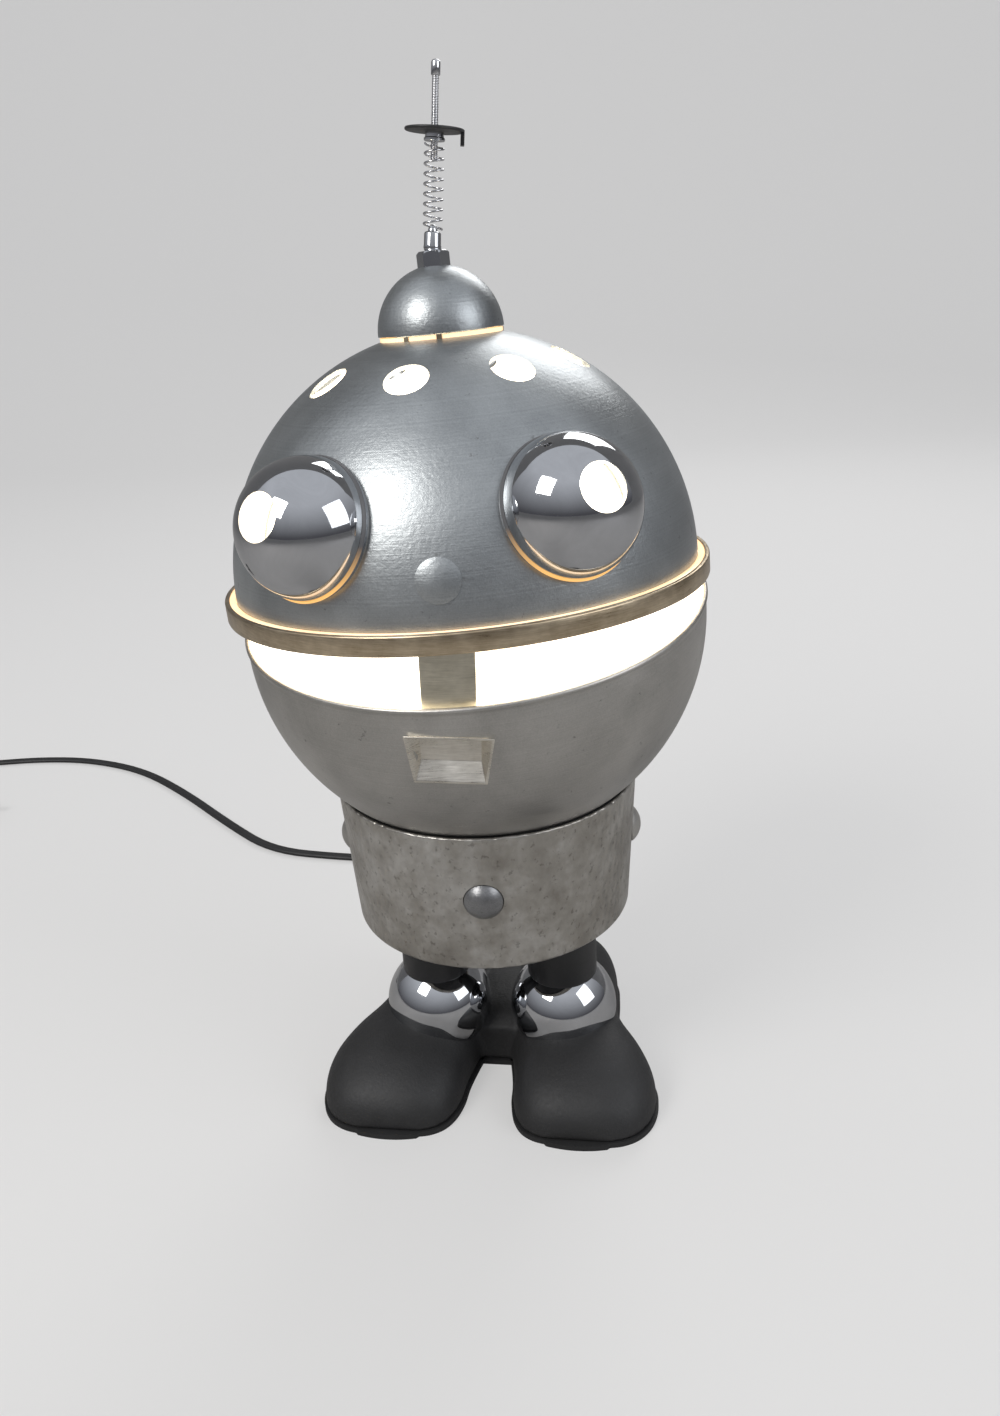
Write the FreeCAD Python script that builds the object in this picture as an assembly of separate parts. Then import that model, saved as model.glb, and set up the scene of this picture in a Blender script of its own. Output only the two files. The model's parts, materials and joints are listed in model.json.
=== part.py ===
import FreeCAD, Part
import math
import os
from FreeCAD import Placement, Rotation
from FreeCAD import Vector as V

# Robot shaped desk lamp. Millimetres, +Z up, the robot looks along -Y.
# The origin lies on the table, under the middle of the body drum.

# Head: two spun steel bowls round an opal glass globe
JAW_R = 90.7            # outer radius of the lower bowl, which turns in the body as a ball
CROWN_LESS = 0.7        # the upper bowl's radius is smaller by this
CROWN_R = JAW_R - CROWN_LESS
BOWL_WALL = 1.6
JAW_RIM_Z = 7.6         # rim of the lower bowl above its middle
RIM_BEAD_R = 1.1        # rolled bead round that rim
JAW_HOLE_R = 31.0       # hole under the lower bowl, wide enough for the tilt
HEAD_TURN = -1.0        # turn, side lean and nod of the head as photographed, degrees
HEAD_LEAN = -2.7
HEAD_NOD = 6.8
MOUTH_OPEN = 8.8        # how far the upper bowl stands open on its rear hinge, degrees
HINGE_CLEAR = 3.5
HINGE_Y = JAW_R + HINGE_CLEAR   # mouth hinge behind the lower bowl's middle
HINGE_Z = -7.5
CROWN_SIDE = -1.8       # the upper bowl and its hinge sit this far to the robot's right
CROWN_SHUT_Z = 5.3      # middle of the upper bowl if the mouth were shut, above the lower one's
CROWN_EDGE_Z = 0.3      # lower edge of the upper bowl above its middle, at the cheeks
CROWN_EDGE_RISE = 1.4   # how much that edge rises to the rear, degrees
CROWN_VENT_R = 18.0     # opening under the small cap
VENT_R = 8.0            # round holes near the top
VENT_COUNT = 8
VENT_RISE = 58.0        # their height on the bowl, degrees above its middle
VENT_PHASE = 12.3       # how far the row is turned from the face, degrees

# Lip ring round the upper bowl
LIP_GAP = 2.6
LIP_T = 1.8
LIP_IN_R = CROWN_R + LIP_GAP
LIP_OUT_R = LIP_IN_R + LIP_T
LIP_LOW_Z = -6.6
LIP_HIGH_Z = 0.6
LIP_TABS = 6            # tabs from one cheek round the face to the other
LIP_TAB_STEP = 45.0
LIP_TAB_ANGLE = 5.0     # width of a spacer tab, degrees

# Eyes, nose, tooth and chin
EYE_R = 24.0
EYE_WALL = 1.2
EYE_TURN = 31.3         # eye direction from straight ahead, degrees
EYE_RISE = 21.8
PUPIL_R = 8.0
EYE_LIGHT_R = 21.5      # hole in the bowl behind an eye
EYE_SEAT_GAP = 0.05
NOSE_R = 7.6
NOSE_PROUD = 1.3
NOSE_RISE = 10.6
NOSE_SHANK_R = 2.0
NOSE_NUT_R = 4.5
NOSE_NUT_H = 2.4
TOOTH_BACK = 3.0        # tooth's face behind the lower bowl's
TOOTH_OUT_R = JAW_R - TOOTH_BACK
TOOTH_WALL = 1.2
TOOTH_WIDTH = 18.8
TOOTH_LOW_Z = -2.0
TOOTH_HIGH_Z = 30.4
TOOTH_FOOT_Z = 3.5      # top of the foot that meets the lower bowl
CHIN_TURN = -2.6        # tooth and chin dish sit a little aside and out of plumb, degrees
CHIN_ROLL = 5.0
DISH_TOP_W = 29.0       # chin dish where it meets the bowl, top and bottom widths
DISH_LOW_W = 23.6
DISH_TOP_Z = -4.4
DISH_LOW_Z = -20.4
DISH_FLOOR_W = 20.8
DISH_FLOOR_TOP_Z = -6.4
DISH_FLOOR_LOW_Z = -14.8
DISH_DEPTH = 3.9
DISH_WALL = 0.8
DISH_GAP = 0.1

# Globe, holder and bulb
GLOBE_LESS = 5.1
GLOBE_R = JAW_R - GLOBE_LESS
GLOBE_WALL = 2.0
GLOBE_Z = 9.0           # middle of the globe above the lower bowl's middle
GLOBE_HOLE_R = 46.0
GLOBE_SEAT_H = 5.0
GLOBE_SEAT_UP = 30.7    # rubber ring under the globe, above the lower bowl's lowest point
GLOBE_SEAT_W = 15.0
GLOBE_SEAT_IN = 25.7    # its outside, in from the lower bowl's radius
GLOBE_SEAT_GAP = 0.2
HOLDER_R = 19.5
HOLDER_H = 46.0
BULB_R = 30.0
BULB_NECK_R = 12.8
BULB_LENGTH = 104.0
SOCKET_DEPTH = 30.0

# Cap and antenna on the crown
CAP_R = 23.3
CAP_WALL = 1.2
CAP_SINK = 1.4
CAP_BASE_Z = CROWN_R - CAP_SINK
CAP_TAB_H = 1.7
CAP_TAB_PAIR = 31.0     # angle between the two tabs of a pair, degrees
CAP_TAB_FIRST = -27.0
CAP_STRAP_W = 12.0
CAP_STRAP_T = 1.6
NUT_AF = 10.4           # hex nut on the cap, across flats
NUT_H = 5.2
FERRULE_LOW_R = 3.2
FERRULE_HIGH_R = 2.3
FERRULE_H = 6.4
ANTENNA_LEAN = 8.0      # lean of the spring and rod to the robot's left, degrees
SPRING_OUT_R = 3.65
SPRING_WIRE = 0.8
SPRING_PITCH = 3.25
SPRING_TURNS = 8.5
SPRING_GAP = 0.35       # room under and over the spring
PUSH_NUT_H = 1.2
HUB_R = 3.3
HUB_H = 3.0
DISC_R = 10.5
DISC_T = 1.2
DISC_TAB_H = 5.2
ROD_R = 1.25
ROD_TOP = 57.0          # rod tip above the nut
TIP_R = 1.6
TIP_H = 5.0

# Body drum
DRUM_LOW_Z = 88.7
DRUM_TOP_Z = 149.5
DRUM_LOW_R = 58.8
DRUM_TOP_R = 62.7
DRUM_WALL = 1.5
DRUM_LIP_R = 50.0
SEAT_R = 60.359         # the lower bowl is this wide where it enters the drum
NECK_Z = DRUM_TOP_Z + math.sqrt(JAW_R ** 2 - SEAT_R ** 2)   # where the head turns
FLOOR_T = 3.0
FIT = 0.1
SEAT_GAP = 0.3
STUD_Z = 121.2
STUD_R = 7.8
STUD_PROUD = 3.8
STUD_SHANK_R = 3.0
STUD_NUT_AF = 10.0
STUD_NUT_H = 4.0
BRIDGE_Z = 108.0
BRIDGE_T = 2.5
BRIDGE_W = 22.0
BRIDGE_TAB_T = 2.4
BRIDGE_TAB_TOP = 130.0

# Neck: a tube that turns in the bridge and pulls the lower bowl on to its seat
TUBE_R = 5.0
TUBE_BORE_R = 3.4
TUBE_LOW_Z = 99.0
BUSH_R = 9.0
BUSH_H = 6.0
RUN_GAP = 0.05
SHOE_ANGLE = 28.0       # slotted washer inside the bowl, degrees from its middle line
SHOE_T = 1.5
CUP_ANGLE = 17.0
CUP_T = 1.5
SLOT_SWING = 8.0        # side lean that the slot allows, degrees
SPRING_WASHER_T = 2.4
TUBE_NUT_AF = 15.0
TUBE_NUT_H = 4.0

# Switch button in the belly
BUTTON_R = 7.6
BUTTON_HOLE_GAP = 0.3
BUTTON_TRAVEL = 2.0
BUTTON_BACK_Y = -52.0
SWITCH_W = 14.0
SWITCH_H = 18.0
SWITCH_L = 16.0
PLUNGER_R = 2.4

# Legs and shoes
BASE_TURN = -6.0        # turn of the shoes against the body, degrees
BALL_X = 28.8
BALL_Z = 31.0
BALL_R = 24.0
LEG_R = 15.5
LEG_BORE_R = 5.3
ROD_M_R = 5.0
ROD_M_BORE_R = 3.4
ROD_NUT_AF = 17.0
ROD_NUT_H = 4.6
SOLE_T = 2.5
SHOE_SIDE = -2.5        # both shoes sit this far to the robot's right of the ankles
SOLE_MARGIN = 0.9
POCKET_R = 12.0
POCKET_TOP_Z = 11.0
GROOVE_W = 8.0
GROOVE_TOP_Z = 13.0

# Mains lead
CORD_D = 6.0
CORD_Z = CORD_D / 2
GLAND_START_Y = 36.0
GLAND_END_Y = 64.0
CORD_FIRST = 17.5       # straight run out of the gland
GLAND_Z = 9.0
GLAND_ROOT_R = 5.6
GLAND_TIP_R = 3.9
COIL_X = -452.0
COIL_Y = 304.0
COIL_OUT_R = 43.0
COIL_PITCH = 6.6        # room from one turn to the next
COIL_TURNS = 3.0        # turns in each of the two layers
COIL_CLIMB = 0.5        # turns in which the lead climbs to the upper layer
COIL_START = 90.0       # where the lead joins the coil, degrees
COIL_TAIL = 34.0
PLUG_L = 34.0
PLUG_W = 26.0
PLUG_T = 14.0
PIN_R = 2.0
PIN_L = 19.0
PIN_SPACING = 19.0

os.makedirs("parts", exist_ok=True)
made = {}


def rad(angle):
    return math.radians(angle)


def save(name, *solids):
    """Write one node. Several solids stay separate in it."""
    shape = solids[0] if len(solids) == 1 else Part.makeCompound(list(solids))
    shape.exportStep("parts/" + name + ".step")
    made[name] = shape
    box = shape.BoundBox
    print("%-16s solids %d valid %s volume %9.0f  z %7.1f to %7.1f"
          % (name, len(shape.Solids), shape.isValid(), shape.Volume, box.ZMin, box.ZMax))


def moved(shape, place):
    """A copy of a shape, placed."""
    result = shape.copy()
    result.Placement = place.multiply(result.Placement)
    return result


def turned(shape, angle):
    return moved(shape, Placement(V(0, 0, 0), Rotation(V(0, 0, 1), angle)))


def cylinder(radius, z_low, z_high, x=0.0, y=0.0):
    return Part.makeCylinder(radius, z_high - z_low, V(x, y, z_low))


def tube(outer, inner, z_low, z_high, x=0.0, y=0.0):
    return cylinder(outer, z_low, z_high, x, y).cut(cylinder(inner, z_low - 1, z_high + 1, x, y))


def box(x0, x1, y0, y1, z0, z1):
    return Part.makeBox(x1 - x0, y1 - y0, z1 - z0, V(x0, y0, z0))


def hexagon(across, z_low, z_high, x=0.0, y=0.0):
    corner = across / math.sqrt(3)
    points = [V(x + corner * math.cos(rad(60 * k)), y + corner * math.sin(rad(60 * k)), z_low)
              for k in range(7)]
    return Part.Face(Part.makePolygon(points)).extrude(V(0, 0, z_high - z_low))


def spin(edges):
    """Solid of revolution about Z from the edges of a closed profile in the XZ plane."""
    return Part.Face(Part.Wire(edges)).revolve(V(0, 0, 0), V(0, 0, 1), 360)


def spin_points(points):
    """Solid of revolution from a polygon of (radius, height) points."""
    corners = [V(r, 0, z) for r, z in points]
    return Part.Face(Part.makePolygon(corners + corners[:1])).revolve(V(0, 0, 0), V(0, 0, 1), 360)


def at_z(radius, z):
    """Point of a circle about the origin at a height, as (r, z)."""
    return (math.sqrt(radius * radius - z * z), z)


def at_r(radius, r, side=1):
    """Point of a circle about the origin at a distance from the axis, as (r, z)."""
    return (r, side * math.sqrt(radius * radius - r * r))


def round_edge(p, q):
    """Arc about the origin from p to q, both (r, z)."""
    middle = (math.atan2(p[1], p[0]) + math.atan2(q[1], q[0])) / 2
    radius = math.hypot(p[0], p[1])
    return Part.Arc(V(p[0], 0, p[1]), V(radius * math.cos(middle), 0, radius * math.sin(middle)),
                    V(q[0], 0, q[1])).toShape()


def straight(p, q):
    return Part.LineSegment(V(p[0], 0, p[1]), V(q[0], 0, q[1])).toShape()


def round_shell(outer_low, outer_high, inner_high, inner_low):
    """Shell between two spheres, closed by straight edges at its two ends."""
    return spin([round_edge(outer_low, outer_high), straight(outer_high, inner_high),
                 round_edge(inner_high, inner_low), straight(inner_low, outer_low)])


def towards(turn, rise, distance=0.0):
    """Placement whose Z points out of a ball at a turn from the face and a rise, in degrees."""
    out = V(math.sin(rad(turn)) * math.cos(rad(rise)), -math.cos(rad(turn)) * math.cos(rad(rise)),
            math.sin(rad(rise)))
    return Placement(out * distance, Rotation(V(0, 0, 1), out))


def sector(inner, outer, z_low, z_high, middle, width):
    """Part of a ring, middle and width in degrees, counted from the face."""
    ring = Part.Face(Part.makePolygon([V(inner, 0, z_low), V(outer, 0, z_low), V(outer, 0, z_high),
                                       V(inner, 0, z_high), V(inner, 0, z_low)]))
    return turned(ring.revolve(V(0, 0, 0), V(0, 0, 1), width), middle - width / 2 - 90)


# Places of the head's two halves

head_turn = Rotation(V(0, 0, 1), HEAD_TURN)
head_lean = Rotation(V(0, 1, 0), HEAD_LEAN)
head_nod = Rotation(V(1, 0, 0), HEAD_NOD)
NECK = V(0, 0, NECK_Z)
head_place = Placement(NECK, head_turn.multiply(head_lean).multiply(head_nod))
hinge_point = V(0, HINGE_Y, HINGE_Z)
mouth_turn = Rotation(V(1, 0, 0), -MOUTH_OPEN)
mouth_place = Placement(hinge_point, mouth_turn).multiply(
    Placement(V(CROWN_SIDE, -HINGE_Y, CROWN_SHUT_Z - HINGE_Z), Rotation()))
crown_place = head_place.multiply(mouth_place)


def on_head(shape):
    return moved(shape, head_place)


def on_crown(shape):
    return moved(shape, crown_place)


def ball(radius, centre=V(0, 0, 0)):
    return Part.makeSphere(radius, centre)


# Shoes: one casting, a loft for each foot and a web between them

def shoe_section(y, middle, half, height):
    """Closed section across a shoe: flat below, a flattened arch above."""
    power = 2 / 2.5
    steps = 12
    arch = []
    for k in range(steps + 1):
        c = math.cos(math.pi * k / steps)
        s = max(math.sin(math.pi * k / steps), 0.0)
        across = math.copysign(abs(c) ** power, c)
        arch.append(V(middle + half * across, y, SOLE_T + (height - SOLE_T) * s ** power))
    return Part.makePolygon(arch + arch[:1])


# y, middle, half width and height of the right shoe from toe to heel
SHOE = [(-57.0, 41.0, 12.0, 9.0), (-55.5, 41.3, 18.0, 12.8), (-52.0, 41.7, 23.8, 17.2),
        (-46.0, 42.2, 28.2, 21.5), (-37.0, 42.5, 31.0, 25.6), (-25.0, 42.0, 31.5, 29.0),
        (-13.0, 38.8, 30.3, 31.3), (0.0, 33.6, 27.8, 32.8), (12.0, 30.6, 26.0, 33.8),
        (26.0, 29.2, 25.2, 34.3), (40.0, 29.0, 25.0, 34.2), (50.0, 29.0, 24.0, 33.0),
        (58.0, 29.0, 21.0, 30.0), (63.0, 29.0, 16.6, 24.6), (66.0, 29.0, 11.6, 17.4),
        (67.0, 29.0, 8.0, 12.0)]
WEB = [(-7.0, 0.0, 26.0, 20.0), (0.0, 0.0, 28.0, 25.0), (16.0, 0.0, 28.0, 28.0),
       (36.0, 0.0, 28.0, 25.0)]


def shoe(side):
    return Part.makeLoft([shoe_section(y, side * x + SHOE_SIDE, w, h) for y, x, w, h in SHOE],
                         True, True)


web = Part.makeLoft([shoe_section(y, x, w, h) for y, x, w, h in WEB], True, True)
casting = shoe(1).fuse(shoe(-1)).fuse(web).removeSplitter()
for side in (-1, 1):
    casting = casting.cut(ball(BALL_R + 0.02, V(side * BALL_X, 0, BALL_Z)))
    casting = casting.cut(cylinder(LEG_BORE_R, 0, BALL_Z, side * BALL_X))
    casting = casting.cut(cylinder(POCKET_R, 0, POCKET_TOP_Z, side * BALL_X))
GROOVE_Y = 22.0
casting = casting.cut(box(-GROOVE_W / 2, BALL_X, GROOVE_Y, GROOVE_Y + GROOVE_W, 0, GROOVE_TOP_Z))
casting = casting.cut(box(BALL_X - GROOVE_W / 2, BALL_X + GROOVE_W / 2, 0, GROOVE_Y + GROOVE_W,
                          0, GROOVE_TOP_Z))
casting = casting.cut(box(-GROOVE_W / 2, GROOVE_W / 2, GROOVE_Y, GLAND_START_Y, 0, GROOVE_TOP_Z))
gland_bore = Part.makeCylinder(GLAND_ROOT_R + 0.02, GLAND_END_Y, V(0, 30, GLAND_Z), V(0, 1, 0))
casting = casting.cut(gland_bore)
casting = max(casting.Solids, key=lambda s: s.Volume)
save("shoe_casting", turned(casting, BASE_TURN))


def sole_solid(side):
    """Sole under one shoe: its plan outline, wider all round by the margin."""
    first, last = SHOE[0][0], SHOE[-1][0]
    right = []
    left = []
    for y, x, w, h in SHOE:
        end = -SOLE_MARGIN if y == first else SOLE_MARGIN if y == last else 0.0
        middle = side * x + SHOE_SIDE
        right.append(V(middle + w + SOLE_MARGIN, y + end, 0))
        left.append(V(middle - w - SOLE_MARGIN, y + end, 0))
    outline = right + left[::-1]
    return Part.Face(Part.makePolygon(outline + outline[:1])).extrude(V(0, 0, SOLE_T))


sole = sole_solid(1).fuse(sole_solid(-1)).fuse(box(-18, 18, -7.9, 36.9, 0, SOLE_T))
sole = sole.removeSplitter()
sole = max(sole.Solids, key=lambda s: s.Volume)
save("sole_pad", turned(sole, BASE_TURN))

# Ankle balls, legs and the threaded tubes that tie them together

FLOOR_LOW_Z = DRUM_LOW_Z + DRUM_WALL
FLOOR_TOP_Z = FLOOR_LOW_Z + FLOOR_T
ROD_TOP_Z = BRIDGE_Z + BRIDGE_T + ROD_NUT_H + 2.0
NUT_SEAT_Z = BALL_Z - math.sqrt(BALL_R ** 2 - LEG_BORE_R ** 2) - FIT
ROD_LOW_Z = NUT_SEAT_Z - ROD_NUT_H
rods = []
rod_nuts = []
for side, word in ((-1, "left"), (1, "right")):
    x = side * BALL_X
    ankle = ball(BALL_R, V(x, 0, BALL_Z)).cut(cylinder(LEG_BORE_R, 0, 2 * BALL_Z, x))
    save("ankle_ball_" + word, turned(ankle, BASE_TURN))
    leg = tube(LEG_R, LEG_BORE_R, BALL_Z, DRUM_LOW_Z, x).cut(ball(BALL_R, V(x, 0, BALL_Z)))
    save("leg_" + word, turned(leg, BASE_TURN))
    rods.append(turned(tube(ROD_M_R, ROD_M_BORE_R, ROD_LOW_Z, ROD_TOP_Z, x), BASE_TURN))
    for low in (ROD_LOW_Z, BRIDGE_Z + BRIDGE_T):
        nut = hexagon(ROD_NUT_AF, low, low + ROD_NUT_H, x).cut(
            cylinder(ROD_M_R, low - 1, low + ROD_NUT_H + 1, x))
        rod_nuts.append(turned(nut, BASE_TURN))
save("leg_rods", *rods)
save("leg_rod_nuts", *rod_nuts)

# Body drum

FLARE = (DRUM_TOP_R - DRUM_LOW_R) / (DRUM_TOP_Z - DRUM_LOW_Z)


def drum_r(z, inset=0.0):
    """Radius of the drum's outside at a height, less an inset."""
    return DRUM_LOW_R + FLARE * (z - DRUM_LOW_Z) - inset


def drum_cone(inset, z_low, z_high):
    return Part.makeCone(drum_r(z_low, inset), drum_r(z_high, inset), z_high - z_low,
                         V(0, 0, z_low))


def along(shape, x, y, z, direction):
    """Place a shape made along +Z so that it starts at a point and runs along a direction."""
    return moved(shape, Placement(V(x, y, z), Rotation(V(0, 0, 1), direction)))


BEND = 1.2
drum = spin_points([
    (DRUM_LIP_R, DRUM_LOW_Z), (DRUM_LOW_R - BEND, DRUM_LOW_Z),
    (drum_r(DRUM_LOW_Z + 0.35 * BEND, 0.3 * BEND), DRUM_LOW_Z + 0.35 * BEND),
    (drum_r(DRUM_LOW_Z + BEND), DRUM_LOW_Z + BEND), (DRUM_TOP_R, DRUM_TOP_Z - 0.4),
    (DRUM_TOP_R - 0.4, DRUM_TOP_Z), (DRUM_TOP_R - DRUM_WALL, DRUM_TOP_Z),
    (drum_r(FLOOR_LOW_Z, DRUM_WALL), FLOOR_LOW_Z), (DRUM_LIP_R, FLOOR_LOW_Z)])
for direction in (V(1, 0, 0), V(-1, 0, 0)):
    drum = drum.cut(along(cylinder(STUD_SHANK_R + FIT, 0, 80), 0, 0, STUD_Z, direction))
drum = drum.cut(along(cylinder(BUTTON_R + BUTTON_HOLE_GAP, 0, 80), 0, 0, STUD_Z, V(0, -1, 0)))
save("body_drum", drum)

floor_plate = cylinder(drum_r(FLOOR_LOW_Z, DRUM_WALL + FIT), FLOOR_LOW_Z, FLOOR_TOP_Z)
for side in (-1, 1):
    floor_plate = floor_plate.cut(turned(cylinder(LEG_BORE_R, 80, 100, side * BALL_X), BASE_TURN))
save("drum_floor", floor_plate)

# Nut faces under the drum lip are closed by two spacers, one on each leg rod
spacers = [turned(tube(LEG_R, LEG_BORE_R, DRUM_LOW_Z, FLOOR_LOW_Z, side * BALL_X), BASE_TURN)
           for side in (-1, 1)]
save("leg_spacers", *spacers)

bridge = box(-80, 80, -BRIDGE_W / 2, BRIDGE_W / 2, BRIDGE_Z, BRIDGE_Z + BRIDGE_T)
for side in (-1, 1):
    outer = drum_r(BRIDGE_Z, DRUM_WALL)
    low, high = sorted((side * (outer - BRIDGE_TAB_T - 1.2), side * 80))
    bridge = bridge.fuse(box(low, high, -BRIDGE_W / 2, BRIDGE_W / 2, BRIDGE_Z, BRIDGE_TAB_TOP))
bridge = bridge.common(drum_cone(DRUM_WALL + FIT, BRIDGE_Z - 5, BRIDGE_TAB_TOP + 5))
bridge = bridge.cut(cylinder(TUBE_R + 1.5, 100, 120))
for side in (-1, 1):
    bridge = bridge.cut(turned(cylinder(LEG_BORE_R, 100, 120, side * BALL_X), BASE_TURN))
for direction in (V(1, 0, 0), V(-1, 0, 0)):
    bridge = bridge.cut(along(cylinder(STUD_SHANK_R + FIT, 0, 80), 0, 0, STUD_Z, direction))
save("neck_bridge", bridge.removeSplitter())

bridge_posts = [turned(tube(LEG_BORE_R + 2.2, LEG_BORE_R, FLOOR_TOP_Z, BRIDGE_Z, side * BALL_X),
                       BASE_TURN) for side in (-1, 1)]
save("bridge_posts", *bridge_posts)

seat_low = DRUM_TOP_Z - 8.0
seat = spin_points([(50.0, seat_low), (drum_r(seat_low, DRUM_WALL + FIT), seat_low),
                    (drum_r(DRUM_TOP_Z - 0.5, DRUM_WALL + FIT), DRUM_TOP_Z - 0.5),
                    (56.0, DRUM_TOP_Z - 0.5)])
seat = seat.cut(ball(JAW_R + SEAT_GAP, NECK))
save("head_seat", max(seat.Solids, key=lambda s: s.Volume))

# Side studs with their nuts, and the belly button with its switch

CAP_BALL_R = (STUD_R ** 2 + STUD_PROUD ** 2) / (2 * STUD_PROUD)


def domed_head(radius, proud):
    """Domed head on the plane z = 0, with a straight edge below it to be trimmed."""
    dome_r = (radius ** 2 + proud ** 2) / (2 * proud)
    dome = ball(dome_r, V(0, 0, proud - dome_r))
    return dome.common(cylinder(radius, 0, proud + 1)).fuse(cylinder(radius, -2, 0))


wall_x = drum_r(STUD_Z)
nut_face = drum_r(BRIDGE_Z, DRUM_WALL) - BRIDGE_TAB_T - 1.2
for side, word in ((-1, "left"), (1, "right")):
    head = along(domed_head(STUD_R, STUD_PROUD), side * wall_x, 0, STUD_Z, V(side, 0, 0))
    head = head.cut(drum_cone(-0.05, STUD_Z - 20, STUD_Z + 20))
    shank = along(cylinder(STUD_SHANK_R, 0, wall_x - nut_face + STUD_NUT_H + 1),
                  side * (nut_face - STUD_NUT_H - 1), 0, STUD_Z, V(side, 0, 0))
    save("side_stud_" + word, head.fuse(shank).removeSplitter())
stud_nuts = []
for side in (-1, 1):
    nut = hexagon(STUD_NUT_AF, 0, STUD_NUT_H).cut(cylinder(STUD_SHANK_R, -1, STUD_NUT_H + 1))
    stud_nuts.append(along(nut, side * (nut_face - STUD_NUT_H), 0, STUD_Z, V(side, 0, 0)))
save("stud_nuts", *stud_nuts)

button_face = wall_x + STUD_PROUD
dome_r = (BUTTON_R ** 2 + STUD_PROUD ** 2) / (2 * STUD_PROUD)
button = ball(dome_r, V(0, -button_face + dome_r, STUD_Z)).common(
    along(cylinder(BUTTON_R, 0, button_face), 0, -button_face + STUD_PROUD, STUD_Z, V(0, -1, 0)))
button = button.fuse(along(cylinder(BUTTON_R, 0, wall_x + BUTTON_BACK_Y), 0, BUTTON_BACK_Y,
                           STUD_Z, V(0, -1, 0)))
button = button.fuse(along(cylinder(PLUNGER_R, 0, 8), 0, BUTTON_BACK_Y + 8, STUD_Z, V(0, -1, 0)))
save("belly_button", button.removeSplitter())
SWITCH_FACE_Y = BUTTON_BACK_Y + BUTTON_TRAVEL + 0.5
switch = box(-SWITCH_W / 2, SWITCH_W / 2, SWITCH_FACE_Y, SWITCH_FACE_Y + SWITCH_L,
             STUD_Z - SWITCH_H / 2, STUD_Z + SWITCH_H / 2)
switch = switch.cut(along(cylinder(PLUNGER_R + 0.2, 0, 14), 0, BUTTON_BACK_Y + 12, STUD_Z,
                          V(0, -1, 0)))
bracket = box(-SWITCH_W / 2, SWITCH_W / 2, SWITCH_FACE_Y, SWITCH_FACE_Y + SWITCH_L,
              FLOOR_TOP_Z, STUD_Z - SWITCH_H / 2)
bracket = bracket.cut(box(-SWITCH_W / 2 + 1.5, SWITCH_W / 2 - 1.5, SWITCH_FACE_Y + 1.5,
                          SWITCH_FACE_Y + SWITCH_L + 1, FLOOR_TOP_Z + 1.5, STUD_Z - SWITCH_H / 2))
save("switch_block", switch)
save("switch_bracket", bracket)

# Neck: bush, tube, slotted washer, pressure cup, spring washer and nut

bush = tube(BUSH_R, TUBE_R + RUN_GAP, BRIDGE_Z + BRIDGE_T, BRIDGE_Z + BRIDGE_T + BUSH_H)
bush = bush.fuse(tube(TUBE_R + 1.4, TUBE_R + RUN_GAP, BRIDGE_Z - 1.0, BRIDGE_Z + BRIDGE_T))
save("neck_bush", bush.removeSplitter())

inner_r = JAW_R - BOWL_WALL
shoe_out_r = inner_r - SEAT_GAP
cup_out_r = shoe_out_r - SHOE_T - SEAT_GAP


def dished(outer, thickness, angle, hole):
    """Dished washer under the neck point: part of a ball shell with a hole in the middle."""
    inner = outer - thickness
    edge = outer * math.sin(rad(angle))
    shell = round_shell(at_r(outer, hole, -1), at_r(outer, edge, -1), at_r(inner, edge, -1),
                        at_r(inner, hole, -1))
    return moved(shell, Placement(NECK, Rotation()))


shoe_washer = dished(shoe_out_r, SHOE_T, SHOE_ANGLE, TUBE_R - 1)
slot_half = shoe_out_r * math.sin(rad(SLOT_SWING)) + TUBE_R
slot_side = TUBE_R + 0.6
shoe_washer = shoe_washer.cut(box(-slot_half, slot_half, -slot_side, slot_side, 110, 150))
shoe_turned = moved(shoe_washer, Placement(NECK, head_turn.multiply(head_lean)).multiply(
    Placement(V(0, 0, -NECK_Z), Rotation())))
save("slotted_washer", shoe_turned)
save("pressure_cup", dished(cup_out_r, CUP_T, CUP_ANGLE, TUBE_R + FIT))
cup_top_z = NECK_Z - math.sqrt((cup_out_r - CUP_T) ** 2 - (TUBE_R + 1.5) ** 2)
washer_low = cup_top_z + 0.35
spring_washer = spin_points([(TUBE_R + FIT, washer_low + 1.0),
                             (TUBE_R + FIT, washer_low + SPRING_WASHER_T),
                             (11.0, washer_low + 1.2), (11.0, washer_low + 0.4)])
save("spring_washer", spring_washer)
nut_low = washer_low + SPRING_WASHER_T
tube_nut = hexagon(TUBE_NUT_AF, nut_low, nut_low + TUBE_NUT_H)
save("neck_nut", tube_nut.cut(cylinder(TUBE_R, nut_low - 1, nut_low + TUBE_NUT_H + 1)))
holder_low = nut_low + TUBE_NUT_H
tube_top = holder_low + 8.0
neck_tube = tube(TUBE_R, TUBE_BORE_R, TUBE_LOW_Z, tube_top)
collar = tube(BUSH_R, TUBE_R, BRIDGE_Z - 1.0 - SEAT_GAP - 4.0, BRIDGE_Z - 1.0 - SEAT_GAP)
save("neck_tube", neck_tube)
save("neck_collar", collar)

holder = spin_points([
    (TUBE_R, holder_low), (12.0, holder_low), (15.0, holder_low + 3), (HOLDER_R, holder_low + 14),
    (HOLDER_R, holder_low + 30), (HOLDER_R - 1.2, holder_low + 31),
    (HOLDER_R - 1.2, holder_low + HOLDER_H), (14.6, holder_low + HOLDER_H),
    (14.6, holder_low + HOLDER_H - SOCKET_DEPTH), (TUBE_R, holder_low + HOLDER_H - SOCKET_DEPTH)])
save("lampholder", holder)

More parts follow.
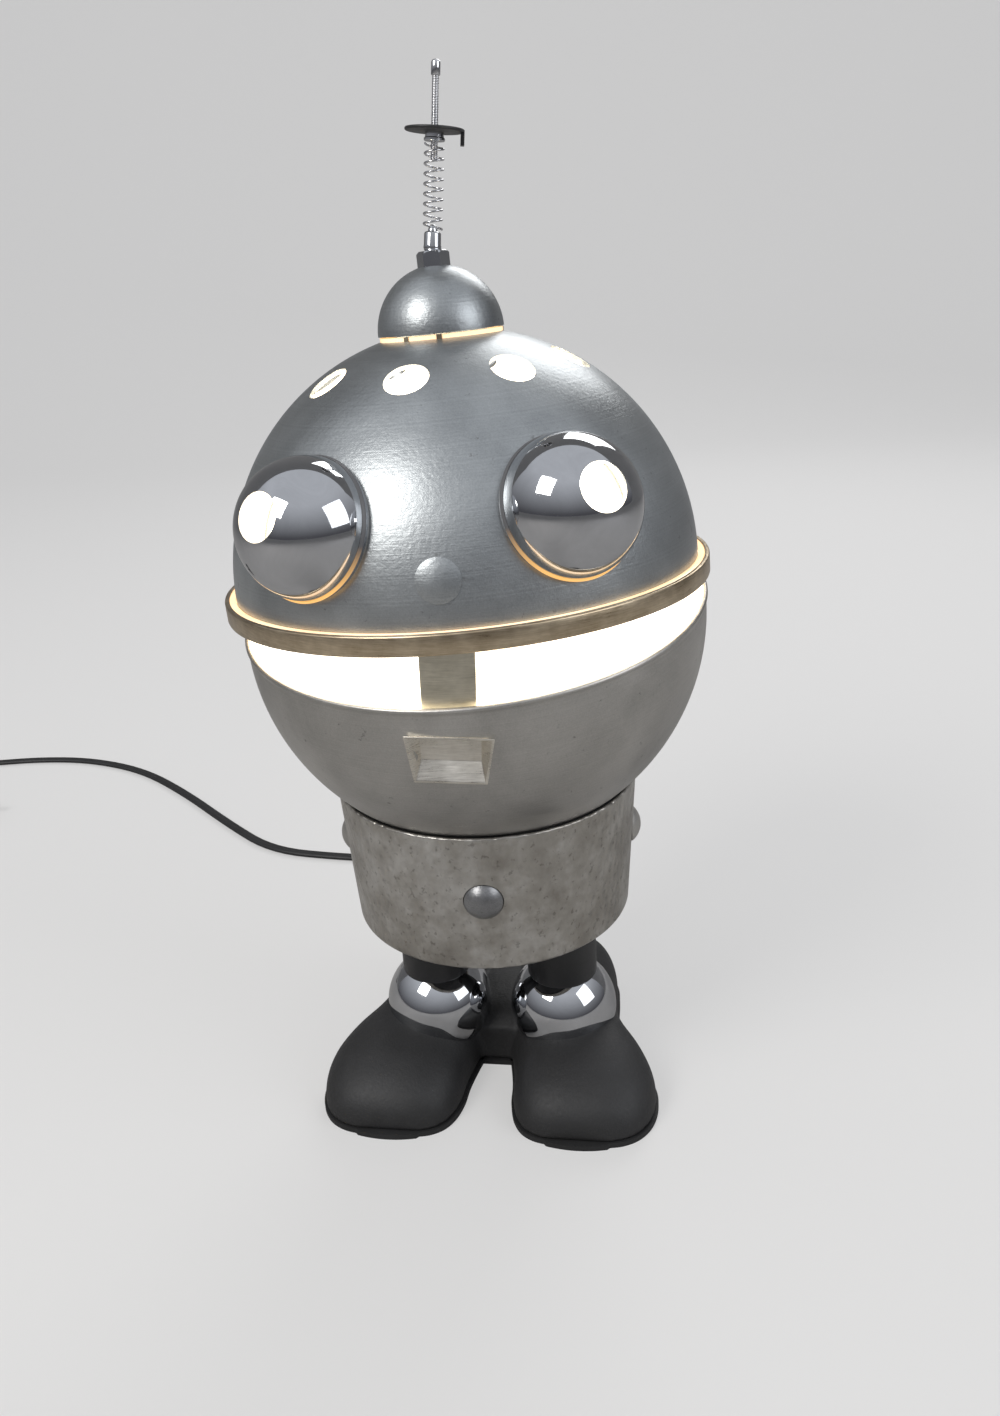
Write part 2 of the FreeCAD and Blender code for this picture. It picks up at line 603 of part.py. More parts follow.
bulb_low = holder_low + HOLDER_H - SOCKET_DEPTH + 0.4
bulb_centre = bulb_low + BULB_LENGTH - BULB_R
neck_top = bulb_low + 30.0
joint_r = BULB_R * math.cos(rad(-28))
joint_z = bulb_centre + BULB_R * math.sin(rad(-28))


def bulb_point(r, z):
    return V(r, 0, z)


glass_side = Part.BSplineCurve()
glass_side.interpolate([bulb_point(BULB_NECK_R, neck_top), bulb_point(16.5, neck_top + 14),
                        bulb_point(joint_r, joint_z)])
bulb = spin([
    Part.LineSegment(bulb_point(0, bulb_low), bulb_point(5, bulb_low)).toShape(),
    Part.LineSegment(bulb_point(5, bulb_low), bulb_point(BULB_NECK_R, bulb_low + 5)).toShape(),
    Part.LineSegment(bulb_point(BULB_NECK_R, bulb_low + 5), bulb_point(BULB_NECK_R, neck_top)
                     ).toShape(),
    glass_side.toShape(),
    Part.Arc(bulb_point(joint_r, joint_z),
             bulb_point(BULB_R * math.cos(rad(31)), bulb_centre + BULB_R * math.sin(rad(31))),
             bulb_point(0, bulb_centre + BULB_R)).toShape(),
    Part.LineSegment(bulb_point(0, bulb_centre + BULB_R), bulb_point(0, bulb_low)).toShape()])
save("bulb", bulb)

# Lower bowl with its chin dish, tooth and half of the mouth hinge

jaw = round_shell(at_r(JAW_R, JAW_HOLE_R, -1), at_z(JAW_R, JAW_RIM_Z), at_z(inner_r, JAW_RIM_Z),
                  at_r(inner_r, JAW_HOLE_R, -1))
bead_mid = at_z(JAW_R, JAW_RIM_Z - RIM_BEAD_R)[0] - 0.3
jaw = jaw.fuse(Part.makeTorus(bead_mid, RIM_BEAD_R, V(0, 0, JAW_RIM_Z - RIM_BEAD_R)))


def dish_form(grow, depth, front):
    """Tapered block of the chin dish: wide at the bowl's face, narrow at its floor."""
    def outline(y, top_w, low_w, top_z, low_z):
        return Part.makePolygon([V(-top_w / 2, y, top_z), V(top_w / 2, y, top_z),
                                 V(low_w / 2, y, low_z), V(-low_w / 2, y, low_z),
                                 V(-top_w / 2, y, top_z)])

    def mixed(share):
        def between(a, b):
            return a + (b - a) * share
        return (between(DISH_TOP_W, DISH_FLOOR_W) + 2 * grow,
                between(DISH_LOW_W, DISH_FLOOR_W) + 2 * grow,
                between(DISH_TOP_Z, DISH_FLOOR_TOP_Z) + grow,
                between(DISH_LOW_Z, DISH_FLOOR_LOW_Z) - grow)

    first = outline(-JAW_R - front, *mixed(-front / DISH_DEPTH))
    last = outline(-JAW_R + depth, *mixed(depth / DISH_DEPTH))
    return Part.makeLoft([first, last], True, True)


chin_place = Placement(V(0, 0, 0), Rotation(V(0, 1, 0), CHIN_ROLL)).multiply(
    Placement(V(0, 0, 0), Rotation(V(0, 0, 1), CHIN_TURN)))
dish_hole = dish_form(DISH_WALL + DISH_GAP, DISH_DEPTH + DISH_WALL, 2.0)
jaw = jaw.cut(moved(dish_hole, chin_place))
dish = dish_form(DISH_WALL, DISH_DEPTH + DISH_WALL, 2.0).cut(dish_form(0.0, DISH_DEPTH, 2.5))
dish = dish.common(ball(JAW_R + 0.25))
save("jaw_bowl", on_head(max(jaw.removeSplitter().Solids, key=lambda s: s.Volume)))
dish = max(dish.Solids, key=lambda s: s.Volume)
save("chin_dish", on_head(moved(dish, chin_place)))

tooth_angle = 2 * math.degrees(math.asin(TOOTH_WIDTH / 2 / TOOTH_OUT_R))
tooth = sector(TOOTH_OUT_R - TOOTH_WALL, TOOTH_OUT_R, TOOTH_LOW_Z, TOOTH_HIGH_Z, 0, tooth_angle)
tooth_foot = sector(TOOTH_OUT_R - TOOTH_WALL, at_z(inner_r, TOOTH_FOOT_Z)[0] - FIT, TOOTH_LOW_Z,
                    TOOTH_FOOT_Z, 0, tooth_angle)
save("tooth_strip", on_head(moved(tooth.fuse(tooth_foot).removeSplitter(), chin_place)))

KNUCKLE_R = 3.0
PIN_HOLE_R = 1.55
HINGE_PIN_R = 1.5
HINGE_HALF = 14.0
MIDDLE_HALF = 7.0
LEAF_T = 1.5


def knuckle(x_low, x_high, y, z):
    barrel = Part.makeCylinder(KNUCKLE_R, x_high - x_low, V(x_low, y, z), V(1, 0, 0))
    return barrel.cut(Part.makeCylinder(PIN_HOLE_R, x_high - x_low + 2, V(x_low - 1, y, z),
                                        V(1, 0, 0)))


lower_leaf = box(-HINGE_HALF, HINGE_HALF, 80, HINGE_Y - KNUCKLE_R + LEAF_T, HINGE_Z - 15, HINGE_Z)
lower_leaf = lower_leaf.common(ball(JAW_R + LEAF_T).fuse(
    box(-50, 50, 80, 100, HINGE_Z - KNUCKLE_R, HINGE_Z)))
for low, high in ((-HINGE_HALF, -MIDDLE_HALF - 0.3), (MIDDLE_HALF + 0.3, HINGE_HALF)):
    lower_leaf = lower_leaf.fuse(knuckle(low, high, HINGE_Y, HINGE_Z))
clear_middle = Part.makeCylinder(KNUCKLE_R + 0.5, 2 * MIDDLE_HALF + 0.6,
                                 V(-MIDDLE_HALF - 0.3, HINGE_Y, HINGE_Z), V(1, 0, 0))
pin_bore = Part.makeCylinder(PIN_HOLE_R, 60, V(-30, HINGE_Y, HINGE_Z), V(1, 0, 0))
lower_leaf = lower_leaf.cut(clear_middle).cut(pin_bore)
lower_leaf = moved(lower_leaf, Placement(V(CROWN_SIDE, 0, 0), Rotation())).cut(ball(JAW_R))
save("hinge_lower", on_head(max(lower_leaf.removeSplitter().Solids, key=lambda s: s.Volume)))
hinge_pin = Part.makeCylinder(HINGE_PIN_R, 2 * HINGE_HALF + 1, V(-HINGE_HALF - 0.5, HINGE_Y,
                                                                HINGE_Z), V(1, 0, 0))
for end, way in ((-HINGE_HALF - 0.5, -1), (HINGE_HALF + 0.5, 1)):
    head = Part.makeCylinder(HINGE_PIN_R + 0.8, 1.0, V(end, HINGE_Y, HINGE_Z), V(way, 0, 0))
    hinge_pin = hinge_pin.fuse(head)
hinge_pin = moved(hinge_pin.removeSplitter(), Placement(V(CROWN_SIDE, 0, 0), Rotation()))
save("hinge_pin", on_head(hinge_pin))

# Opal globe and the rubber ring that it sits in

globe_in_r = GLOBE_R - GLOBE_WALL
globe = spin([
    round_edge(at_r(GLOBE_R, GLOBE_HOLE_R, -1), (GLOBE_R, 0)),
    round_edge((GLOBE_R, 0), (0, GLOBE_R)),
    straight((0, GLOBE_R), (0, globe_in_r)),
    round_edge((0, globe_in_r), (globe_in_r, 0)),
    round_edge((globe_in_r, 0), at_r(globe_in_r, GLOBE_HOLE_R, -1)),
    straight(at_r(globe_in_r, GLOBE_HOLE_R, -1), at_r(GLOBE_R, GLOBE_HOLE_R, -1))])
globe = moved(globe, Placement(V(0, 0, GLOBE_Z), Rotation()))
save("opal_globe", on_head(globe))
seat_z = GLOBE_SEAT_UP - JAW_R
ring_out = JAW_R - GLOBE_SEAT_IN
globe_ring = tube(ring_out, ring_out - GLOBE_SEAT_W, seat_z, seat_z + GLOBE_SEAT_H)
globe_ring = globe_ring.common(ball(inner_r - GLOBE_SEAT_GAP))
globe_ring = globe_ring.cut(ball(GLOBE_R + GLOBE_SEAT_GAP, V(0, 0, GLOBE_Z)))
save("globe_ring", on_head(max(globe_ring.Solids, key=lambda s: s.Volume)))

# Upper bowl with vents and eye holes

crown_in_r = CROWN_R - BOWL_WALL
crown_low = CROWN_EDGE_Z - 4.0
crown = round_shell(at_z(CROWN_R, crown_low), at_r(CROWN_R, CROWN_VENT_R),
                    at_r(crown_in_r, CROWN_VENT_R), at_z(crown_in_r, crown_low))
crown = crown.cut(moved(box(-120, 120, -120, 120, -40, 0), Placement(
    V(0, 0, CROWN_EDGE_Z), Rotation(V(1, 0, 0), CROWN_EDGE_RISE))))
for k in range(VENT_COUNT):
    turn = VENT_PHASE + 360.0 / VENT_COUNT * (k + 0.5)
    crown = crown.cut(moved(cylinder(VENT_R, 60, 110), towards(turn, VENT_RISE)))
for side in (-1, 1):
    crown = crown.cut(moved(cylinder(EYE_LIGHT_R, 60, 110), towards(side * EYE_TURN, EYE_RISE)))
crown = crown.cut(moved(cylinder(NOSE_SHANK_R + FIT, 60, 110), towards(0, NOSE_RISE)))
save("crown_bowl", on_crown(crown))

for side, word in ((-1, "left"), (1, "right")):
    eye = ball(EYE_R).cut(ball(EYE_R - EYE_WALL)).cut(cylinder(PUPIL_R, 0, EYE_R + 5))
    eye = moved(eye, towards(side * EYE_TURN, EYE_RISE, CROWN_R))
    eye = eye.cut(ball(CROWN_R + EYE_SEAT_GAP))
    save("eye_" + word, on_crown(max(eye.Solids, key=lambda s: s.Volume)))

nose_ball_r = (NOSE_R ** 2 + NOSE_PROUD ** 2) / (2 * NOSE_PROUD)
nose = ball(nose_ball_r, V(0, 0, CROWN_R + NOSE_PROUD - nose_ball_r)).common(
    cylinder(NOSE_R, CROWN_R - 2, CROWN_R + 10))
nose = nose.cut(ball(CROWN_R))
nose = nose.fuse(cylinder(NOSE_SHANK_R, crown_in_r - NOSE_NUT_H - 1, CROWN_R + 1))
save("nose_button", on_crown(moved(nose.removeSplitter(), towards(0, NOSE_RISE))))
nose_nut = hexagon(2 * NOSE_NUT_R, crown_in_r - NOSE_NUT_H - 0.2, crown_in_r - 0.2)
nose_nut = nose_nut.cut(cylinder(NOSE_SHANK_R, 70, 110))
save("nose_nut", on_crown(moved(nose_nut, towards(0, NOSE_RISE))))

# Lip ring and its spacer tabs

EASE = 0.5
lip = spin_points([
    (LIP_IN_R, LIP_LOW_Z), (LIP_OUT_R - EASE, LIP_LOW_Z), (LIP_OUT_R, LIP_LOW_Z + EASE),
    (LIP_OUT_R, LIP_HIGH_Z - EASE), (LIP_OUT_R - EASE, LIP_HIGH_Z), (LIP_IN_R, LIP_HIGH_Z)])
save("lip_ring", on_crown(lip))
tabs = []
for k in range(LIP_TABS):
    turn = LIP_TAB_STEP * (k - (LIP_TABS - 1) / 2)
    tab = sector(CROWN_R - 1.0, LIP_IN_R, -1.5, 0.2, turn, LIP_TAB_ANGLE)
    tabs.append(on_crown(tab.cut(ball(CROWN_R))))
save("lip_tabs", *tabs)

shut_z = HINGE_Z - CROWN_SHUT_Z
upper_leaf = box(-MIDDLE_HALF, MIDDLE_HALF, LIP_OUT_R - 4, LIP_OUT_R + LEAF_T, shut_z, LIP_HIGH_Z)
upper_leaf = upper_leaf.cut(cylinder(LIP_OUT_R, LIP_LOW_Z - 0.5, LIP_HIGH_Z + 5))
upper_leaf = upper_leaf.cut(box(-50, 50, LIP_OUT_R - 6, LIP_OUT_R, shut_z - 5, LIP_LOW_Z))
upper_leaf = upper_leaf.fuse(knuckle(-MIDDLE_HALF, MIDDLE_HALF, HINGE_Y, shut_z))
upper_leaf = upper_leaf.cut(Part.makeCylinder(PIN_HOLE_R, 60, V(-30, HINGE_Y, shut_z), V(1, 0, 0)))
save("hinge_upper", on_crown(max(upper_leaf.removeSplitter().Solids, key=lambda s: s.Volume)))

# Cap, its strap and spacer tabs

cap_in_r = CAP_R - CAP_WALL
cap = spin([
    straight((cap_in_r, 0), (CAP_R, 0)),
    round_edge((CAP_R, 0), at_r(CAP_R, 3.2)),
    straight(at_r(CAP_R, 3.2), at_r(cap_in_r, 3.2)),
    round_edge(at_r(cap_in_r, 3.2), (cap_in_r, 0))])
cap = moved(cap, Placement(V(0, 0, CAP_BASE_Z), Rotation()))
save("top_cap", on_crown(cap))
cap_tabs = []
for leg in range(3):
    for step in range(2):
        turn = CAP_TAB_FIRST + CAP_TAB_PAIR * step + 120.0 * leg
        tab = sector(cap_in_r - 1.0, CAP_R - 0.3, CAP_BASE_Z - 4, CAP_BASE_Z, turn, 5.0)
        cap_tabs.append(on_crown(tab.cut(ball(CROWN_R))))
save("cap_tabs", *cap_tabs)
strap_z = at_r(crown_in_r, CROWN_VENT_R + 5)[1] - CAP_STRAP_T - 0.5
strap = box(-CROWN_VENT_R - 4, CROWN_VENT_R + 4, -CAP_STRAP_W / 2, CAP_STRAP_W / 2,
            strap_z, strap_z + CAP_STRAP_T)
strap = strap.common(ball(crown_in_r - 0.2)).cut(cylinder(3.1, 60, 100))
save("cap_strap", on_crown(strap))
CAP_TOP_Z = CAP_BASE_Z + at_r(CAP_R, NUT_AF / 2)[1]
stem_low = strap_z - 3.0
stem = cylinder(3.0, stem_low, CAP_TOP_Z + NUT_H - 0.6)
stem = stem.fuse(cylinder(5.0, stem_low - 1.5, stem_low + 2.9))
save("cap_stem", on_crown(stem.removeSplitter()))
nut = hexagon(NUT_AF, CAP_TOP_Z - 1.5, CAP_TOP_Z + NUT_H).cut(cylinder(3.0, 60, 130))
nut = nut.cut(ball(CAP_R, V(0, 0, CAP_BASE_Z)))
chamfer = Part.makeCone(NUT_AF / math.sqrt(3) + 6, NUT_AF / 2 - 0.2, 6.5,
                        V(0, 0, CAP_TOP_Z + NUT_H - 6.5))
save("antenna_nut", on_crown(max(nut.common(chamfer).Solids, key=lambda s: s.Volume)))

# Antenna: ferrule on the crown, then spring, disc and rod that sway together

NUT_TOP_Z = CAP_TOP_Z + NUT_H
lean_place = Placement(V(0, 0, NUT_TOP_Z), Rotation(V(0, 1, 0), ANTENNA_LEAN))
antenna_place = crown_place.multiply(lean_place)
shoulder_z = FERRULE_H
ferrule = spin_points([
    (0, -0.5), (2.6, -0.5), (FERRULE_LOW_R, 0.9), (FERRULE_LOW_R, 1.6),
    (FERRULE_HIGH_R + 0.7, shoulder_z - 0.6), (FERRULE_HIGH_R, shoulder_z),
    (1.7, shoulder_z + 0.1), (1.3, shoulder_z + 1.8), (0.6, shoulder_z + 2.3),
    (0, shoulder_z + 2.4)])
ferrule = moved(ferrule, lean_place).cut(cylinder(20, NUT_TOP_Z - 9, NUT_TOP_Z + 0.02))
save("antenna_ferrule", on_crown(ferrule))


def biarc(p0, t0, p1, t1):
    """Two arcs that leave p0 along t0 and reach p1 along t1, touching between."""
    v = p1 - p0
    t = t0 + t1
    a = 2 * (t0.dot(t1) - 1)
    b = -2 * v.dot(t)
    c = v.dot(v)
    if abs(a) < 1e-9:
        d = -c / b
    else:
        d = (-b - math.sqrt(b * b - 4 * a * c)) / (2 * a)
    q0 = p0 + t0 * d
    q1 = p1 - t1 * d
    middle = (q0 + q1) * 0.5
    return [bow(p0, q0, middle), bow(middle, q1, p1)]


def bow(p, q, r):
    """Arc from p to r whose tangents meet at q."""
    half = (p + r) * 0.5
    rise = q - half
    chord = (r - p).Length / 2
    if rise.Length < 1e-4 * chord:
        return Part.LineSegment(p, r).toShape()
    sag = chord * math.tan(math.atan2(rise.Length, chord) / 2)
    return Part.Arc(p, half + rise.normalize() * sag, r).toShape()


def wound_wire(place, slope, stations, lead, tail):
    """Wire through stations of a curve on biarcs, with straight ends."""
    edges = []
    points = [place(s) for s in stations]
    slopes = [slope(s) for s in stations]
    if lead > 0:
        edges.append(Part.LineSegment(points[0] - slopes[0] * lead, points[0]).toShape())
    for k in range(len(stations) - 1):
        edges += biarc(points[k], slopes[k], points[k + 1], slopes[k + 1])
    if tail > 0:
        edges.append(Part.LineSegment(points[-1], points[-1] + slopes[-1] * tail).toShape())
    return Part.Wire(edges)


def pipe(wire, radius):
    """Round tube along a wire."""
    start = wire.OrderedEdges[0]
    origin = start.valueAt(start.FirstParameter)
    axis = start.tangentAt(start.FirstParameter)
    ring = Part.Wire([Part.Circle(origin, axis, radius).toShape()])
    maker = Part.BRepOffsetAPI.MakePipeShell(wire)
    maker.add(ring)
    maker.build()
    maker.makeSolid()
    return maker.shape()


def least_gap(points, diameter, skip):
    """Least room between stretches of a wound tube that aren't neighbours along it."""
    least = 1e9
    for i in range(0, len(points), 2):
        for j in range(i + skip, len(points)):
            least = min(least, (points[i] - points[j]).Length)
    return least - diameter


spring_low = shoulder_z + SPRING_GAP + SPRING_WIRE / 2
spring_r = SPRING_OUT_R - SPRING_WIRE / 2
spring_high = spring_low + SPRING_PITCH * SPRING_TURNS


def spring_at(turn):
    angle = 2 * math.pi * turn
    return V(spring_r * math.cos(angle), spring_r * math.sin(angle),
             spring_low + SPRING_PITCH * turn)


def spring_slope(turn):
    angle = 2 * math.pi * turn
    round_way = 2 * math.pi * spring_r
    return V(-round_way * math.sin(angle), round_way * math.cos(angle), SPRING_PITCH).normalize()


quarters = [k / 4 for k in range(int(SPRING_TURNS * 4) + 1)]
spring = pipe(wound_wire(spring_at, spring_slope, quarters, SPRING_WIRE, SPRING_WIRE),
              SPRING_WIRE / 2)
samples = [spring_at(k / 40) for k in range(int(SPRING_TURNS * 40) + 1)]
print("spring least gap %.2f mm" % least_gap(samples, SPRING_WIRE, 20))


def on_antenna(shape):
    return moved(shape, antenna_place)


save("antenna_spring", on_antenna(spring))
push_low = spring_high + SPRING_WIRE / 2 + SPRING_GAP
hub_low = push_low + PUSH_NUT_H
disc_low = hub_low + HUB_H - DISC_T
rod_low = push_low - 6.0
hub = tube(HUB_R, ROD_R, hub_low, disc_low)
push_nut = tube(HUB_R + 0.4, ROD_R, push_low, hub_low)
disc = tube(DISC_R, ROD_R, disc_low, disc_low + DISC_T)
disc_tab = sector(DISC_R - 1.2, DISC_R, disc_low - DISC_TAB_H + DISC_T, disc_low + 0.2, 96, 24)
save("antenna_hub", on_antenna(push_nut.fuse(hub).removeSplitter()))
save("antenna_disc", on_antenna(disc.fuse(disc_tab).removeSplitter()))
save("antenna_rod", on_antenna(cylinder(ROD_R, rod_low, ROD_TOP)))
tip_low = ROD_TOP - 1.0
tip = cylinder(TIP_R, tip_low, tip_low + TIP_H - 0.8).fuse(
    Part.makeCone(TIP_R, TIP_R - 0.6, 0.8, V(0, 0, tip_low + TIP_H - 0.8)))
save("antenna_tip", on_antenna(tip.cut(cylinder(ROD_R, tip_low - 1, ROD_TOP)).removeSplitter()))

# Mains lead: gland, free stretch, put-away coil and plug

gland = spin_points([
    (2.9, 0), (GLAND_ROOT_R, 0), (GLAND_ROOT_R, 4), (GLAND_TIP_R + 0.6, 9),
    (GLAND_TIP_R, GLAND_END_Y - GLAND_START_Y), (2.9, GLAND_END_Y - GLAND_START_Y)])
gland = moved(gland, Placement(V(0, GLAND_START_Y, GLAND_Z), Rotation(V(0, 0, 1), V(0, 1, 0))))
gland_core = Part.makeCylinder(2.9, GLAND_END_Y - GLAND_START_Y, V(0, GLAND_START_Y, GLAND_Z),
                               V(0, 1, 0))
save("cord_gland", turned(gland.fuse(gland_core).removeSplitter(), BASE_TURN))

coil_mean_z = CORD_Z
coil_top_z = CORD_Z + COIL_PITCH
coil_total = 2 * COIL_TURNS + COIL_CLIMB


def coil_values(turn):
    """Radius and height of the coil's middle line, and how fast they change per turn."""
    if turn <= COIL_TURNS:
        return COIL_OUT_R - COIL_PITCH * turn, coil_mean_z, -COIL_PITCH, 0.0
    inner = COIL_OUT_R - COIL_PITCH * COIL_TURNS
    if turn >= COIL_TURNS + COIL_CLIMB:
        return (inner + COIL_PITCH * (turn - COIL_TURNS - COIL_CLIMB), coil_top_z,
                COIL_PITCH, 0.0)
    share = (turn - COIL_TURNS) / COIL_CLIMB
    dip = COIL_PITCH * COIL_CLIMB / 4
    height = coil_mean_z + COIL_PITCH * (share * share * (3 - 2 * share))
    return (inner - dip * 4 * share * (1 - share), height,
            -dip * 4 * (1 - 2 * share) / COIL_CLIMB,
            COIL_PITCH * 6 * share * (1 - share) / COIL_CLIMB)


def coil_at(turn):
    radius, height, _, _ = coil_values(turn)
    angle = rad(COIL_START) + 2 * math.pi * turn
    return V(COIL_X + radius * math.cos(angle), COIL_Y + radius * math.sin(angle), height)


def coil_slope(turn):
    radius, _, inward, upward = coil_values(turn)
    angle = rad(COIL_START) + 2 * math.pi * turn
    arc = 2 * math.pi * radius
    return V(inward * math.cos(angle) - arc * math.sin(angle),
             inward * math.sin(angle) + arc * math.cos(angle), upward).normalize()


stations = [k / 4 for k in range(int(coil_total * 4) + 1)]
coil_wire = wound_wire(coil_at, coil_slope, stations, CORD_D, COIL_TAIL)
coil = pipe(coil_wire, CORD_D / 2)
samples = [coil_at(k / 40) for k in range(int(coil_total * 40) + 1)]
print("coil length %.0f mm, least gap %.2f mm" % (coil_wire.Length,
                                                 least_gap(samples, CORD_D, 30)))
save("cord_coil", coil)

# The lead's route by hand, from the gland between the heels to the coil
end_way = coil_slope(0)
coil_mouth = coil_at(0) - end_way * CORD_D
exit_point = turned(Part.Vertex(V(0, GLAND_END_Y, GLAND_Z)), BASE_TURN).Point
first_bend = turned(Part.Vertex(V(0, GLAND_END_Y + CORD_FIRST, GLAND_Z)), BASE_TURN).Point
ROUTE = [(10.2, 101.0, 4.8), (6.0, 123.0, 3.0), (-7.0, 146.5, 3.0),
         (-32.0, 169.0, 3.0), (-68.0, 183.0, 3.0), (-112.0, 189.0, 3.0), (-156.0, 200.0, 3.0),
         (-193.0, 237.0, 3.0), (-237.0, 286.0, 3.0), (-281.0, 327.0, 3.0), (-328.0, 349.0, 3.0),
         (-370.0, 354.0, 3.0), (-408.0, 350.0, 3.0)]


def tube_path(points):
    """Straight runs joined by tangent arcs, each as large as its two runs allow."""
    edges = []
    here = points[0]
    radii = []
    for before, corner, after in zip(points, points[1:], points[2:]):
        into = corner - before
        out = after - corner
        turn = into.getAngle(out)
        reach = 0.45 * min(into.Length, out.Length)
        radii.append(reach / math.tan(turn / 2))
        start = corner - into.normalize() * reach
        end = corner + out.normalize() * reach
        edges.append(Part.LineSegment(here, start).toShape())
        edges.append(bow(start, corner, end))
        here = end
    edges.append(Part.LineSegment(here, points[-1]).toShape())
    print("cord bend radii " + " ".join("%.0f" % r for r in radii))
    return Part.Wire(edges)


route = [exit_point, first_bend] + [V(*p) for p in ROUTE] + [coil_mouth]
cord_wire = tube_path(route)
cord = pipe(cord_wire, CORD_D / 2)
print("cord length %.0f mm, volume share %.4f" % (
    cord_wire.Length, cord.Volume / (math.pi * CORD_D ** 2 / 4 * cord_wire.Length)))
print("last run %.0f mm, turn into coil %.1f degrees" % (
    (route[-1] - route[-2]).Length, math.degrees((route[-1] - route[-2]).getAngle(end_way))))
save("cord_run", cord)

tail_way = coil_slope(coil_total)
plug_start = coil_at(coil_total) + tail_way * COIL_TAIL
plug_place = Placement(V(plug_start.x, plug_start.y, PLUG_T / 2 + 2.6),
                       Rotation(V(0, 0, 1), math.degrees(math.atan2(tail_way.y, tail_way.x))))
plug_body = box(0, PLUG_L, -PLUG_W / 2, PLUG_W / 2, -PLUG_T / 2 - 2.6, PLUG_T / 2 - 2.6)
nose_cut = Part.makePolygon([V(0, -4.5, 0), V(9, -PLUG_W / 2, 0), V(PLUG_L, -PLUG_W / 2, 0),
                             V(PLUG_L, PLUG_W / 2, 0), V(9, PLUG_W / 2, 0), V(0, 4.5, 0),
                             V(0, -4.5, 0)])
plug_form = Part.Face(nose_cut).extrude(V(0, 0, PLUG_T))
plug_form.translate(V(0, 0, -PLUG_T / 2 - 2.6))
plug_body = plug_body.common(plug_form)
for side in (-1, 1):
    plug_body = plug_body.fuse(Part.makeCylinder(PIN_R, PIN_L, V(PLUG_L, side * PIN_SPACING / 2,
                                                                  -2.6), V(1, 0, 0)))
save("mains_plug", moved(plug_body.removeSplitter(), plug_place))

whole = Part.makeCompound(list(made.values())).BoundBox
print("%d nodes, box %.1f x %.1f x %.1f mm" % (len(made), whole.XLength, whole.YLength,
                                              whole.ZLength))
print("head place", head_place)
print("hinge", head_place.multVec(hinge_point))
print("hinge axis", head_place.Rotation.multVec(V(1, 0, 0)))
print("lean axis", head_turn.multVec(V(0, 1, 0)))
print("antenna foot", antenna_place.multVec(V(0, 0, shoulder_z)))
print("antenna axis", crown_place.Rotation.multVec(V(0, 1, 0)))
print("crown centre", crown_place.Base)
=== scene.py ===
# %% [markdown]
# # A robot shaped desk lamp
# The lamp is spun and pressed steel: a round head in two bowls with an opal globe
# between them, a drum for a body, two legs on chrome balls and a pair of black shoes.
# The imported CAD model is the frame: every piece below is worked out in the same
# place, so nothing has to be fitted afterwards.

# %% Load the frame
import json
import math

import bpy
import bmesh
import numpy as np
from mathutils import Matrix


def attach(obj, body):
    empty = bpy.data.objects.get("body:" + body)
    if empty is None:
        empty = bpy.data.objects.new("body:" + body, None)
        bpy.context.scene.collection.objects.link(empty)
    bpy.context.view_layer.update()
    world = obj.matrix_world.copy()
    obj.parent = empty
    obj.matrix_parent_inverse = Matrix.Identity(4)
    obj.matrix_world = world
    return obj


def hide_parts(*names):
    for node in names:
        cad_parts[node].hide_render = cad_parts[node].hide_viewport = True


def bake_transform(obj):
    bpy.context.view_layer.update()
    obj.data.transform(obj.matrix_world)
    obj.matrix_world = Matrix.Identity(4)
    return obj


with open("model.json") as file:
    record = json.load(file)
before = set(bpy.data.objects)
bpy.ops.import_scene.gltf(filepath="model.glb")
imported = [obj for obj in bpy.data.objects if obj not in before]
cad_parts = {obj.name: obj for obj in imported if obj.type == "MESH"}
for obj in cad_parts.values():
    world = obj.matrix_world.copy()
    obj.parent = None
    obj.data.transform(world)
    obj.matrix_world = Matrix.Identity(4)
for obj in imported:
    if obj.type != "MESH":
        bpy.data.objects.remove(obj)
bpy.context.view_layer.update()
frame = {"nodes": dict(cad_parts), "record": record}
MM = 0.001

# %% [markdown]
# The camera was worked out from the photograph: the round rims show as ellipses, and
# their shapes fix where it stood, how it was tilted and how long its lens is. Sizes
# here are millimetres until the last moment, because the real part is drawn in them.

# %% Camera


def turn(axis, degrees):
    """Rotation about X, Y or Z as a 4 by 4 array."""
    return np.array(Matrix.Rotation(math.radians(degrees), 4, axis))


def shift(x, y, z):
    """Translation as a 4 by 4 array."""
    return np.array(Matrix.Translation((x, y, z)))


PHOTO_HIGH = 1416
FOCAL_PIXELS = 1146.5
MIDDLE_PIXELS = -8.5
SENSOR_HIGH = 36
CAMERA_AT = (0.0330, -0.4385, 0.3561)
CAMERA_TURN, CAMERA_TILT, CAMERA_ROLL = 2.93, 67.73, -3.13
camera_data = bpy.data.cameras.new("photo_camera")
camera_data.sensor_fit = "VERTICAL"
camera_data.sensor_height = SENSOR_HIGH
camera_data.lens = FOCAL_PIXELS * SENSOR_HIGH / PHOTO_HIGH
camera_data.shift_x = MIDDLE_PIXELS / PHOTO_HIGH
camera = bpy.data.objects.new("photo_camera", camera_data)
bpy.context.scene.collection.objects.link(camera)
stand = (shift(*CAMERA_AT) @ turn("Z", CAMERA_TURN) @ turn("X", CAMERA_TILT)
         @ turn("Z", CAMERA_ROLL))
camera.matrix_world = Matrix(stand)
bpy.context.scene.camera = camera
print("lens %.1f mm" % camera_data.lens)
